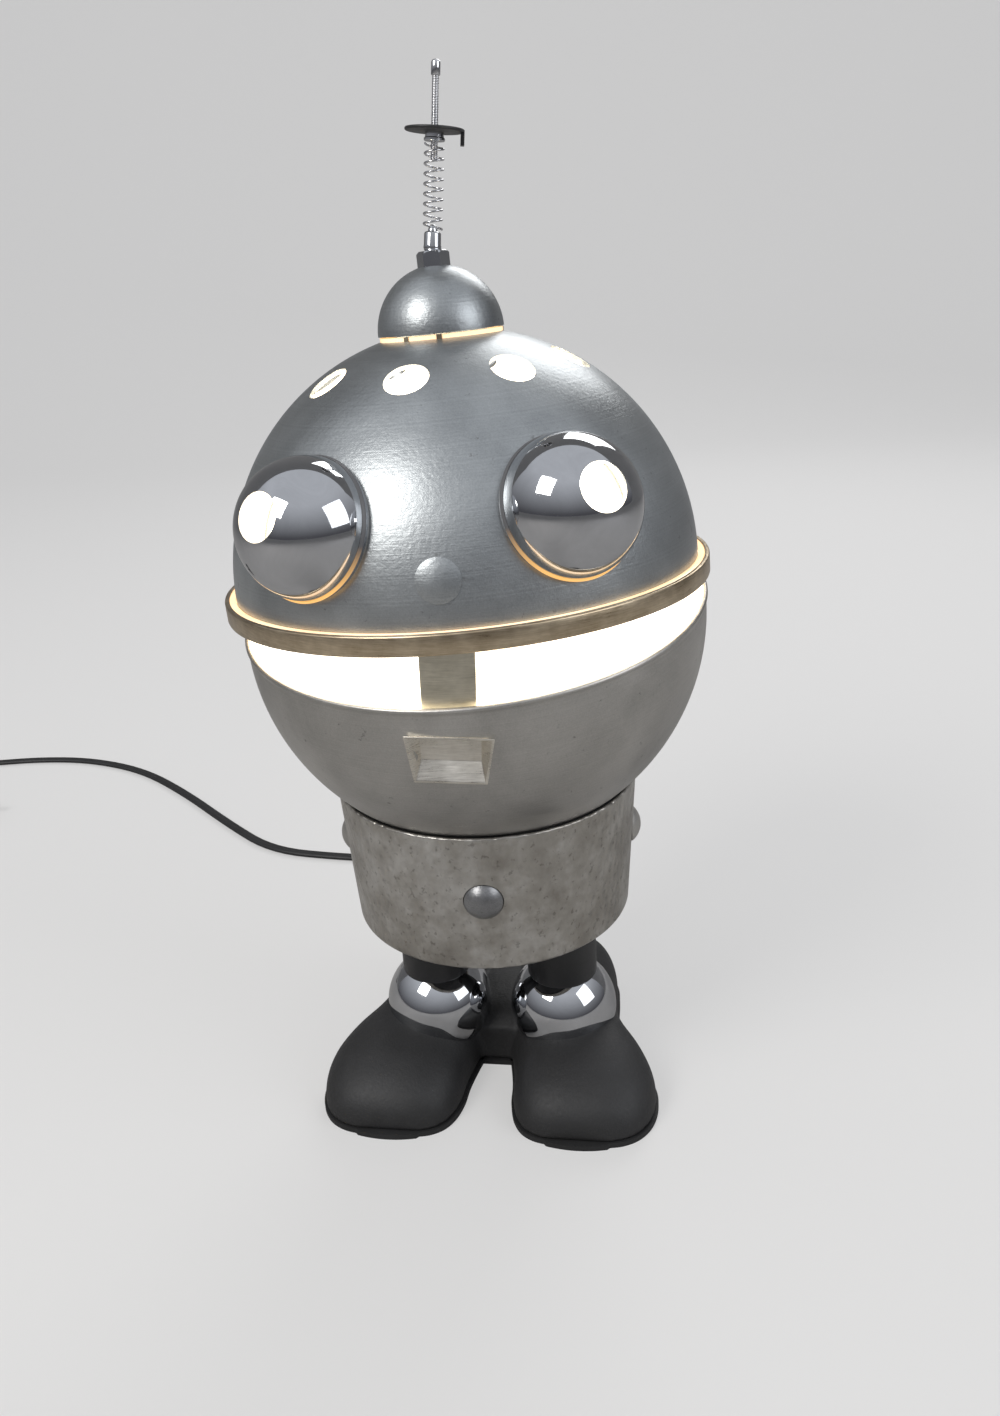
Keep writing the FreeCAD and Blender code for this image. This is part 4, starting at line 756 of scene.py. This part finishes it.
# %% Lip ring and cap
LIP_IN_R, LIP_OUT_R, LIP_LOW_Z, LIP_HIGH_Z = 92.6, 94.4, -6.6, 0.6
EASE, NICK = 0.55, 0.15
ring_profile = [
    (LIP_IN_R, LIP_LOW_Z + 0.2), (LIP_IN_R + NICK, LIP_LOW_Z), (LIP_OUT_R - EASE, LIP_LOW_Z),
    (LIP_OUT_R - NICK, LIP_LOW_Z + NICK), (LIP_OUT_R, LIP_LOW_Z + EASE),
    (LIP_OUT_R, LIP_HIGH_Z - EASE), (LIP_OUT_R - NICK, LIP_HIGH_Z - NICK),
    (LIP_OUT_R - EASE, LIP_HIGH_Z), (LIP_IN_R + NICK, LIP_HIGH_Z), (LIP_IN_R, LIP_HIGH_Z - NICK)]
make_piece("lip_hoop", spun(ring_profile, 256, closed=True), ["lip_ring"], "crown",
           ring_glow_tinted_finish, crown_place, sharp=60)
lip_light = [(90.1, -0.9), (92.5, -0.9), (92.5, 0.35), (92.3, 0.5), (90.3, 0.5), (90.1, 0.3)]
make_piece("lip_glow", spun(lip_light, 256, closed=True), [], "crown",
           glow_finish, crown_place)
CAP_R, CAP_WALL, CAP_HOLE_R, CAP_Z = 23.3, 1.2, 3.2, 88.6
cap_place = crown_place @ shift(0, 0, CAP_Z)
cap_light = [(20.4, -1.4), (22.7, -2.0), (22.75, -0.1), (20.4, -0.1)]
make_piece("cap_glow", spun(cap_light, 128, closed=True), [], "crown",
           glow_finish, cap_place)
cap_inside = CAP_R - CAP_WALL
cap_top = math.degrees(math.acos(CAP_HOLE_R / CAP_R))
cap_in_top = math.degrees(math.acos(CAP_HOLE_R / cap_inside))
cap_profile = np.concatenate([arc(CAP_R, 0.8, cap_top, 40), arc(cap_inside, cap_in_top, 0.8, 30)])
cap_finish = head_steel("cap_steel", cap_place)
make_piece("cap", spun(cap_profile, 128, closed=True), ["top_cap"], "crown",
           cap_finish, cap_place)

# %% [markdown]
# An eye is part of a chromed ball whose edge meets the bowl in a true circle. The
# pupil is an open hole.

# %% Eyes and nose
EYE_R, EYE_WALL, PUPIL_R = 24.0, 1.2, 8.0
seat = ((CROWN_R + 0.05) ** 2 - EYE_R ** 2 - CROWN_R ** 2) / (2 * CROWN_R)
foot_angle = math.degrees(math.asin(seat / EYE_R))
pupil_angle = math.degrees(math.acos(PUPIL_R / EYE_R))
inside_r = EYE_R - EYE_WALL
eye_profile = np.concatenate([
    arc(EYE_R, foot_angle, pupil_angle - 0.6, 56),
    arc(0.25, 0, 70, 4, (PUPIL_R + 0.08, EYE_R * math.sin(math.radians(pupil_angle)) - 0.22)),
    arc(inside_r, math.degrees(math.acos(PUPIL_R / inside_r)), foot_angle, 40)])
EYE_LIGHT = [(23.7, -0.6), (24.65, -0.9), (24.6, -0.35), (24.1, 0.35), (23.9, 0.3)]
for side, word in ((-1, "left"), (1, "right")):
    eye_place = crown_place @ aim(side * EYE_TURN, EYE_RISE, CROWN_R)
    eye = make_piece(word + "_eye", spun(eye_profile, 144, closed=True), ["eye_" + word],
                     "crown", chrome_finish, eye_place)
    glowing_enamel_inside(eye, eye_place[:3, 3], EYE_R - 0.6)
    make_piece(word + "_glow", spun(EYE_LIGHT, 144, closed=True), [], "crown",
               leak_finish(word + "_leak", eye_place), eye_place)
NOSE_R, NOSE_PROUD, NOSE_RISE = 7.6, 1.3, 10.6
nose_ball = (NOSE_R ** 2 + NOSE_PROUD ** 2) / (2 * NOSE_PROUD)
nose_low = math.degrees(math.acos(NOSE_R / nose_ball))
nose_profile = np.concatenate([[(0, -2.5), (NOSE_R - 0.15, -2.5), (NOSE_R, -0.2)],
                               arc(nose_ball, nose_low, 90, 16, (0, NOSE_PROUD - nose_ball))])
nose_profile[-1, 0] = 0.0
make_piece("nose", spun(nose_profile, 72), ["nose_button"], "crown",
           crown_finish, crown_place @ aim(0, NOSE_RISE, CROWN_R))

# %% [markdown]
# ## The antenna
# The spring is wire on a helix, and on the lamp it is the one piece that really bends.
# It is made here as a tube along that line.

# %% Antenna
NUT_HALF, NUT_H, ANTENNA_LEAN = 5.2, 5.2, 8.0
nut_top_z = CAP_Z + math.sqrt(CAP_R ** 2 - NUT_HALF ** 2) + NUT_H
mast_place = crown_place @ shift(0, 0, nut_top_z) @ turn("Y", ANTENNA_LEAN)
ferrule_profile = [(0, -0.4), (2.6, -0.4), (3.0, 0.2), (3.2, 0.9), (3.2, 1.5), (3.1, 1.8),
                   (3.02, 5.7), (2.8, 6.1), (2.35, 6.4), (1.75, 6.45), (1.7, 6.9), (1.35, 8.1),
                   (0.7, 8.65), (0, 8.75)]
make_piece("ferrule", spun(ferrule_profile, 64), ["antenna_ferrule"], "crown",
           chrome_finish, mast_place)


def swept(path, frames, outline):
    """Tube: an outline of (across, up) pairs carried along a path in two-axis frames."""
    across, up = frames
    outline = np.asarray(outline, float)
    points = (path[:, None, :] + outline[None, :, :1] * across[:, None, :]
              + outline[None, :, 1:] * up[:, None, :])
    rows, columns = len(path), len(outline)
    faces = [list(face) for face in grid_faces(rows, columns)]
    faces += [list(range(columns))[::-1], [(rows - 1) * columns + k for k in range(columns)]]
    return points.reshape(-1, 3), faces


def path_frames(path, upward=(0.0, 0.0, 1.0)):
    """Across and up directions square to a path, with up as near upward as can be."""
    along = np.gradient(path, axis=0)
    along /= np.linalg.norm(along, axis=1, keepdims=True)
    across = np.cross(along, np.broadcast_to(upward, along.shape))
    across /= np.linalg.norm(across, axis=1, keepdims=True)
    return across, np.cross(across, along)


SPRING_R, WIRE_R, PITCH, COILS = 3.25, 0.4, 3.25, 8.5
FERRULE_H, SPRING_GAP = 6.4, 0.35
turns_now = np.linspace(0, COILS, int(COILS * 28) + 1)
around = 2 * math.pi * turns_now
helix = np.stack([SPRING_R * np.cos(around), SPRING_R * np.sin(around),
                  FERRULE_H + SPRING_GAP + WIRE_R + PITCH * turns_now], axis=1)
circle = arc(WIRE_R, 0, 360, 11)[:-1]
points, faces = swept(helix, path_frames(helix), circle)
spring = mesh_object("spring", placed(points, mast_place), faces)
spring.data.materials.append(wire_finish)
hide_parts("antenna_spring")
foot_point = placed(np.array([[0, 0, 6.6]]), mast_place)[0] * MM
top_point = placed(np.array([[0, 0, 35.0]]), mast_place)[0] * MM
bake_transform(spring)
spring_top = FERRULE_H + SPRING_GAP + WIRE_R + PITCH * COILS + WIRE_R + SPRING_GAP
hub_profile = [(0, 0), (3.5, 0), (3.7, 0.25), (3.7, 0.9), (3.45, 1.2), (3.3, 1.25), (3.3, 3.0),
               (0, 3.0)]
make_piece("hub", spun(hub_profile, 64), ["antenna_hub"], "antenna",
           wire_finish, mast_place @ shift(0, 0, spring_top))
PUSH_NUT_H, HUB_H, DISC_R, DISC_T, DISC_TAB_H = 1.2, 3.0, 10.5, 1.2, 5.2
disc_low = spring_top + PUSH_NUT_H + HUB_H - DISC_T
disc_profile = [(0, 0), (DISC_R - 0.6, 0), (DISC_R - 0.15, 0.15), (DISC_R, 0.5), (DISC_R, 0.8),
                (DISC_R - 0.2, 1.1), (DISC_R - 0.6, DISC_T), (0, DISC_T)]
tab_points, tab_faces = bent_strip(DISC_R, DISC_T, math.radians(12), DISC_T - DISC_TAB_H, 0.2,
                                   12, 8)
tab_points = placed(tab_points, turn("Z", 96))
make_piece("disc", joined(spun(disc_profile, 96), (tab_points, tab_faces)), ["antenna_disc"],
           "antenna", plastic_finish, mast_place @ shift(0, 0, disc_low))
ROD_TOP = 57.0
thread_z = np.arange(spring_top - 6.0, ROD_TOP, 0.125)
thread_r = 1.16 + 0.09 * np.cos(2 * math.pi * thread_z / 0.5)
rod_profile = np.concatenate([[(0, thread_z[0])], np.stack([thread_r, thread_z], axis=1),
                              [(0, thread_z[-1])]])
make_piece("rod", spun(rod_profile, 28), ["antenna_rod"], "antenna",
           wire_finish, mast_place, sharp=80)
tip_profile = [(0, 56.0), (1.5, 56.0), (1.6, 56.15), (1.6, 60.0), (1.35, 60.5), (0.9, 60.8),
               (0, 60.9)]
make_piece("tip", spun(tip_profile, 40), ["antenna_tip"], "antenna",
           wire_finish, mast_place)

# %% [markdown]
# ## The body
# The drum flares a little upwards, with a rolled edge top and bottom. Studs and the
# belly button are low domes, like rivet heads.

# %% Drum, studs and button
DRUM_LOW_R, DRUM_TOP_R, DRUM_LOW_Z, DRUM_TOP_Z = 58.8, 62.7, 88.7, 149.5
FLARE = (DRUM_TOP_R - DRUM_LOW_R) / (DRUM_TOP_Z - DRUM_LOW_Z)
ROLL_R, ROLL_HIGH_R = 1.6, 0.75


def drum_radius(z):
    """Radius of the drum's outside: it grows in a straight line with height."""
    return DRUM_LOW_R + FLARE * (z - DRUM_LOW_Z)


low_roll_z, high_roll_z = DRUM_LOW_Z + ROLL_R, DRUM_TOP_Z - ROLL_HIGH_R
wall_z = np.linspace(92, 147.5, 24)
drum_profile = np.concatenate([
    [(50.0, DRUM_LOW_Z)], arc(ROLL_R, -90, -4, 8, (drum_radius(low_roll_z) - ROLL_R, low_roll_z)),
    np.stack([drum_radius(wall_z), wall_z], axis=1),
    arc(ROLL_HIGH_R, -4, 184, 10, (drum_radius(high_roll_z) - ROLL_HIGH_R, high_roll_z)),
    [(drum_radius(92) - 1.5, 92.0), (drum_radius(90.2) - 3.0, 90.2), (50.0, 90.2)]])
points, faces = spun(drum_profile, 220, closed=True)
drum = mesh_object("drum", points, faces)
BUTTON_Z = 121.2
face_on = shift(0, 0, BUTTON_Z) @ turn("X", 90)
carve(drum, [cutter(7.9, 40, 90, face_on)])
shade(drum.data)
settle(drum, ["body_drum"], "base", drum_finish)


def dome(radius, proud, back, edge=0.5):
    """Domed head on a straight shank: a flat ball cap with an eased edge."""
    ball = (radius ** 2 + proud ** 2) / (2 * proud)
    low = math.degrees(math.acos((radius - edge * 0.2) / ball))
    curve = arc(ball, low + 0.5, 90, 20, (0, proud - ball))
    curve[-1, 0] = 0.0
    return np.concatenate([[(0, back), (radius, back), (radius, 0.0)], curve])


wall_r = drum_radius(BUTTON_Z)
for side, word in ((-1, "left"), (1, "right")):
    side_on = shift(side * wall_r, 0, BUTTON_Z) @ turn("Y", side * 90)
    make_piece(word + "_stud", spun(dome(7.8, 3.8, -0.45), 72), ["side_stud_" + word], "base",
               jaw_finish, side_on)
make_piece("button", spun(dome(7.6, 3.8, -8.0), 72), ["belly_button"], "button",
           button_finish, shift(0, -wall_r, BUTTON_Z) @ turn("X", 90))

# %% [markdown]
# ## Legs and shoes
# The legs are plain black sleeves on chrome balls. The shoes are one casting: each is a
# row of flattened arches, broad at the toe and narrow at the heel, and a web joins
# them. All three are merged on a fine lattice and smoothed, which rounds the inner
# corners as a casting's are.

# %% Legs
BASE_TURN = -6.0
ANKLE_X, ANKLE_Z, ANKLE_R = 28.8, 31.0, 24.0
BASE = turn("Z", BASE_TURN)
for side, word in ((-1, "left"), (1, "right")):
    ball_place = BASE @ shift(side * ANKLE_X, 0, ANKLE_Z)
    ball_profile = arc(ANKLE_R, -90, 90, 65)
    ball_profile[0, 0] = ball_profile[-1, 0] = 0.0
    make_piece(word + "_ankle", spun(ball_profile, 128), ["ankle_ball_" + word], "base",
               chrome_finish, ball_place)
    leg_profile = [(5.3, 18.0), (14.9, 18.2), (15.3, 18.5), (15.5, 19.0), (15.5, 57.0),
                   (15.3, 57.5), (5.3, 57.7)]
    make_piece(word + "_leg", spun(leg_profile, 96, closed=True), ["leg_" + word], "base",
               leg_finish, ball_place, sharp=60)

# %% Shoes
SHOE_SIDE, SOLE_T, SOLE_STEP, TOE_ROUND = -2.5, 2.5, 0.9, 1.6
SHOE = np.array([
    (-57.0, 41.0, 12.0, 9.0), (-55.5, 41.3, 18.0, 12.8), (-52.0, 41.7, 23.8, 17.2),
    (-46.0, 42.2, 28.2, 21.5), (-37.0, 42.5, 31.0, 25.6), (-25.0, 42.0, 31.5, 29.0),
    (-13.0, 38.8, 30.3, 31.3), (0.0, 33.6, 27.8, 32.8), (12.0, 30.6, 26.0, 33.8),
    (26.0, 29.2, 25.2, 34.3), (40.0, 29.0, 25.0, 34.2), (50.0, 29.0, 24.0, 33.0),
    (58.0, 29.0, 21.0, 30.0), (63.0, 29.0, 16.6, 24.6), (66.0, 29.0, 11.6, 17.4),
    (67.0, 29.0, 8.0, 12.0)])
WEB = np.array([(-7.0, 0.0, 26.0, 20.0), (0.0, 0.0, 28.0, 25.0), (16.0, 0.0, 28.0, 28.0),
                (36.0, 0.0, 28.0, 25.0)])


def between_stations(stations, count):
    """Smooth values between stations, by a cubic through each and its neighbours."""
    steps = np.concatenate([[0], np.cumsum(np.linalg.norm(
        np.diff(stations[:, [0, 2, 3]], axis=0), axis=1))])
    now = np.linspace(0, steps[-1], count)
    slopes = np.gradient(stations, steps, axis=0)
    k = np.clip(np.searchsorted(steps, now, side="right") - 1, 0, len(steps) - 2)
    span = (steps[k + 1] - steps[k])[:, None]
    t = ((now - steps[k])[:, None]) / span
    a, b = stations[k], stations[k + 1]
    return ((2 * t ** 3 - 3 * t ** 2 + 1) * a + (t ** 3 - 2 * t ** 2 + t) * span * slopes[k]
            + (3 * t ** 2 - 2 * t ** 3) * b + (t ** 3 - t ** 2) * span * slopes[k + 1])


def arches(stations, side, count, around=56):
    """Loft of flattened arches: across is cos to the 0.8, up is sin to the 0.8."""
    rows = between_stations(stations, count)
    angle = np.linspace(0, math.pi, around)
    across = np.sign(np.cos(angle)) * np.abs(np.cos(angle)) ** 0.8
    up = np.sin(angle) ** 0.8
    up[0] = up[-1] = 0.0
    x = side * rows[:, 1:2] + SHOE_SIDE * abs(side) + rows[:, 2:3] * across
    z = SOLE_T + (rows[:, 3:4] - SOLE_T) * up
    y = np.broadcast_to(rows[:, :1], x.shape)
    faces = [list(face) for face in grid_faces(count, around)]
    faces += [list(range(around)), [(count - 1) * around + k for k in range(around)][::-1]]
    return np.stack([x, y, z], axis=-1).reshape(-1, 3), faces


shoes = mesh_object("shoes", *joined(arches(SHOE, 1, 90), arches(SHOE, -1, 90),
                                     arches(WEB, 0, 30)))
change = shoes.modifiers.new("lattice", "REMESH")
change.mode, change.voxel_size = "VOXEL", 0.0011
change.use_smooth_shade = True
change = shoes.modifiers.new("smooth", "SMOOTH")
change.factor, change.iterations = 0.5, 8
cast = keep_result(shoes)
spots = placed(values_of(cast.vertices, "co"), BASE)
spots[:, 2] = np.maximum(spots[:, 2], SOLE_T * MM)
cast.vertices.foreach_set("co", spots.ravel())
cast.shade_smooth()
settle(shoes, ["shoe_casting"], "base", shoe_finish)


def sole_ring(side, count=120):
    """Outline of a shoe's sole: the shoe's plan, wider all round by a step, toe rounded."""
    rows = between_stations(SHOE, count)
    middle = side * rows[:, 1] + SHOE_SIDE
    right = np.stack([middle + rows[:, 2] + SOLE_STEP, rows[:, 0]], axis=1)
    left = np.stack([middle - rows[:, 2] - SOLE_STEP, rows[:, 0]], axis=1)
    right[0, 1] = left[0, 1] = SHOE[0, 0] - SOLE_STEP
    right[-1, 1] = left[-1, 1] = SHOE[-1, 0] + SOLE_STEP
    across = np.linspace(-1, 1, 17)[1:-1, None]
    half = (right[0, 0] - left[0, 0]) / 2
    toe = np.concatenate([(right[0, 0] + left[0, 0]) / 2 + half * across,
                          SHOE[0, 0] - SOLE_STEP - TOE_ROUND * (1 - across ** 2)], axis=1)
    return np.concatenate([right, left[::-1], toe])


def slab(outline, low, high):
    """Flat plate on an outline, with its top and bottom closed by one face each."""
    count = len(outline)
    points = np.concatenate([np.column_stack([outline, np.full(count, z)])
                             for z in (low, high)])
    faces = [list(face) for face in grid_faces(2, count)]
    faces += [list(range(count))[::-1], [count + k for k in range(count)]]
    return points, faces


web_plan = np.array([(-18, -7.9), (18, -7.9), (18, 36.9), (-18, 36.9)], float)
sole_grid = joined(*[slab(plan, 0, SOLE_T) for plan in (sole_ring(1), sole_ring(-1), web_plan)])
make_piece("sole", sole_grid, ["sole_pad"], "base", sole_finish, BASE)

# %% [markdown]
# ## The mains lead
# The lead is one smooth line from the gland between the heels, down to the table, away
# to the left and into a neat coil outside the picture, with the plug beside it. Its
# section is flat with a groove down each side, as a twin flex has.

# %% Lead
EXIT = placed(np.array([[0.0, 64.0, 9.0]]), BASE)[0]
FIRST_BEND = placed(np.array([[0.0, 81.5, 9.0]]), BASE)[0]
ROUTE = [(10.2, 101.0, 4.0), (6.0, 123.0, 1.9), (-7.0, 146.5, 1.9),
         (-32.0, 169.0, 1.9), (-68.0, 183.0, 1.9), (-112.0, 189.0, 1.9), (-156.0, 200.0, 1.9),
         (-193.0, 237.0, 1.9), (-237.0, 286.0, 1.9), (-281.0, 327.0, 1.9),
         (-328.0, 349.0, 1.9), (-370.0, 354.0, 1.9), (-408.0, 350.0, 1.9)]
COIL_CENTRE, COIL_OUT, COIL_STEP, COIL_TURNS, CLIMB = (-452.0, 304.0), 43.0, 6.6, 3.0, 0.5


def coil_line(turns_now):
    """Spiral in, climb a layer in half a turn, and spiral out again above it."""
    inner = COIL_OUT - COIL_STEP * COIL_TURNS
    share = np.clip((turns_now - COIL_TURNS) / CLIMB, 0, 1)
    radius = np.where(turns_now <= COIL_TURNS, COIL_OUT - COIL_STEP * turns_now,
                      inner + COIL_STEP * np.maximum(turns_now - COIL_TURNS - CLIMB, 0))
    radius = radius - COIL_STEP * CLIMB * share * (1 - share)
    height = 1.9 + 4.0 * share * share * (3 - 2 * share)
    angle = math.radians(90) + 2 * math.pi * turns_now
    return np.stack([COIL_CENTRE[0] + radius * np.cos(angle),
                     COIL_CENTRE[1] + radius * np.sin(angle), height], axis=1)


turns_now = np.linspace(0, 2 * COIL_TURNS + CLIMB, 92)
coil_points = coil_line(turns_now)
tail_way = coil_points[-1] - coil_points[-2]
tail_way[2] = 0
tail_way /= np.linalg.norm(tail_way)
tail = [coil_points[-1] + tail_way * 16 + [0, 0, 1.5], coil_points[-1] + tail_way * 34
        + [0, 0, 3.7]]
route = np.concatenate([[EXIT, FIRST_BEND], ROUTE, coil_points, tail])
line = bpy.data.curves.new("lead_line", "CURVE")
line.dimensions = "3D"
spline = line.splines.new("NURBS")
spline.points.add(len(route) - 1)
spline.points.foreach_set("co", np.column_stack([route * MM, np.ones(len(route))]).ravel())
spline.order_u = 3
spline.use_endpoint_u = True
spline.resolution_u = 6
line_object = bpy.data.objects.new("lead_line", line)
bpy.context.scene.collection.objects.link(line_object)
graph = bpy.context.evaluated_depsgraph_get()
line_mesh = bpy.data.meshes.new_from_object(line_object.evaluated_get(graph))
lead_path = values_of(line_mesh.vertices, "co") / MM
bpy.data.objects.remove(line_object)

LEAD_HALF_W, LEAD_HALF_H = 3.0, 1.75
angle = np.radians(np.linspace(0, 360, 25)[:-1])
groove = 1 - 0.22 * np.exp(-(np.cos(angle) / 0.32) ** 2)
flat = LEAD_HALF_W * np.sign(np.cos(angle)) * np.abs(np.cos(angle)) ** 0.9
flat_outline = np.stack([flat, LEAD_HALF_H * np.sin(angle) * groove], axis=1)
lead_grid = swept(lead_path, path_frames(lead_path), flat_outline)
lead = make_piece("lead", lead_grid, ["cord_run", "cord_coil"], "base",
                  cord_finish, sharp=70)
gland_profile = [(0, 0), (5.6, 0), (5.6, 4), (5.4, 4.6), (4.9, 5.2), (4.9, 7.0), (4.7, 7.6),
                 (4.0, 7.8), (4.0, 9.3), (4.6, 9.6), (4.6, 11.4), (3.9, 11.7), (3.9, 13.2),
                 (4.4, 13.5), (4.4, 15.2), (3.8, 15.5), (3.8, 17.0), (4.2, 17.3), (4.2, 19.0),
                 (3.7, 19.3), (3.7, 20.8), (4.0, 21.1), (4.0, 24.6), (3.8, 26.0), (3.3, 28.0),
                 (0, 28.0)]
make_piece("gland", spun(gland_profile, 48), ["cord_gland"], "base",
           cord_finish, BASE @ shift(0, 36.0, 9.0) @ turn("X", -90))
tuple(EXIT * MM)

# %% [markdown]
# ## Studio
# A plain pale floor that sweeps up behind the lamp, and soft light, so that the lamp can
# be judged by itself. Chrome needs something to mirror, so the room that glossy rays see
# is dark at the horizon and lighter overhead, while the camera sees a pale backdrop.

# %% Floor
bend = arc(1.2, -90, 0, 40, (1.6, 1.2))
sweep_line = np.concatenate([[(-6.0, 0.0), (-1.0, 0.0), (0.8, 0.0)], bend, [(2.8, 6.0)]])
sweep_points = [(x, y, z) for y, z in sweep_line for x in (-7.0, 7.0)]
floor_mesh = bpy.data.meshes.new("studio_floor")
floor_mesh.from_pydata(sweep_points, [], [(2 * k, 2 * k + 1, 2 * k + 3, 2 * k + 2)
                                          for k in range(len(sweep_line) - 1)])
floor_mesh.shade_smooth()
floor = bpy.data.objects.new("studio_floor", floor_mesh)
bpy.context.scene.collection.objects.link(floor)
floor_finish = Finish("pale_floor", roughness=0.75, base_color=(0.7, 0.695, 0.69, 1))


def by_ray(finish, ray, others, look):
    """Mix Shader whose share is 1 for one kind of ray, which gets its own look."""
    share = finish.node("ShaderNodeLightPath", output=ray)
    return finish.node("ShaderNodeMixShader", {}, {0: share, 1: others, 2: look})


paper = Wire(floor_finish, floor_finish.shader.outputs[0])
lift = floor_finish.node("ShaderNodeEmission", {}, {"Color": (0.84, 0.835, 0.83, 1)})
dim = floor_finish.node("ShaderNodeBsdfDiffuse", {}, {"Color": (0.42, 0.41, 0.4, 1)})
seen = floor_finish.node("ShaderNodeMixShader", {}, {0: 0.5, 1: paper, 2: lift})
look = by_ray(floor_finish, "Is Camera Ray", paper, seen)
look = by_ray(floor_finish, "Is Glossy Ray", look, dim)
surface = floor_finish.tree.nodes["Material Output"].inputs["Surface"]
floor_finish.tree.links.new(look.socket, surface)
floor.data.materials.append(floor_finish.material)
print("floor made of", len(sweep_points), "points")

# %% World


class Sky(Finish):
    """The world's nodes, added in the same way as a material's."""

    def __init__(self, world):
        world.use_nodes = True
        self.tree = world.node_tree
        self.tree.nodes.clear()

    def light(self, colour, strength):
        """Light of one colour, or of a wire's colour, from all round."""
        return self.node("ShaderNodeBackground", {}, {"Color": colour, "Strength": strength})


world = bpy.data.worlds.new("studio")
bpy.context.scene.world = world
sky = Sky(world)
soft_light = sky.light((0.78, 0.8, 0.84, 1), 0.5)
direction = sky.node("ShaderNodeTexCoord", output="Generated")
upward = sky.node("ShaderNodeSeparateXYZ", {}, {0: direction}, output="Z")
walls = sky.ramp(upward, (0.0, (0.1, 0.1, 0.11, 1)), (0.75, (0.62, 0.64, 0.68, 1)))
look = by_ray(sky, "Is Glossy Ray", soft_light, sky.light(walls, 1.0))
look = by_ray(sky, "Is Camera Ray", look, sky.light((0.78, 0.78, 0.785, 1), 1.0))
output = sky.tree.nodes.new("ShaderNodeOutputWorld")
sky.tree.links.new(look.socket, output.inputs["Surface"])
print("world made of", len(sky.tree.nodes), "nodes")

# %% Lamps


def softbox(name, place, aim_at, size, power, colour=(1, 1, 1)):
    """Square area lamp that looks at a point."""
    data = bpy.data.lights.new(name, "AREA")
    data.size, data.energy, data.color = size, power, colour
    item = bpy.data.objects.new(name, data)
    bpy.context.scene.collection.objects.link(item)
    item.location = place
    way = Matrix.Translation(aim_at).translation - item.location
    item.rotation_euler = way.to_track_quat("-Z", "Y").to_euler()


softbox("key", (-0.9, -0.9, 1.3), (0, 0, 0.2), 0.7, 13.0, (1.0, 0.98, 0.95))
softbox("fill", (1.2, -0.6, 0.9), (0, 0, 0.2), 0.9, 6.0, (0.95, 0.97, 1.0))
softbox("back", (0.4, 1.3, 1.2), (0, 0, 0.25), 0.8, 8.0)
bpy.context.scene.view_settings.view_transform = "Standard"
print("studio ready")
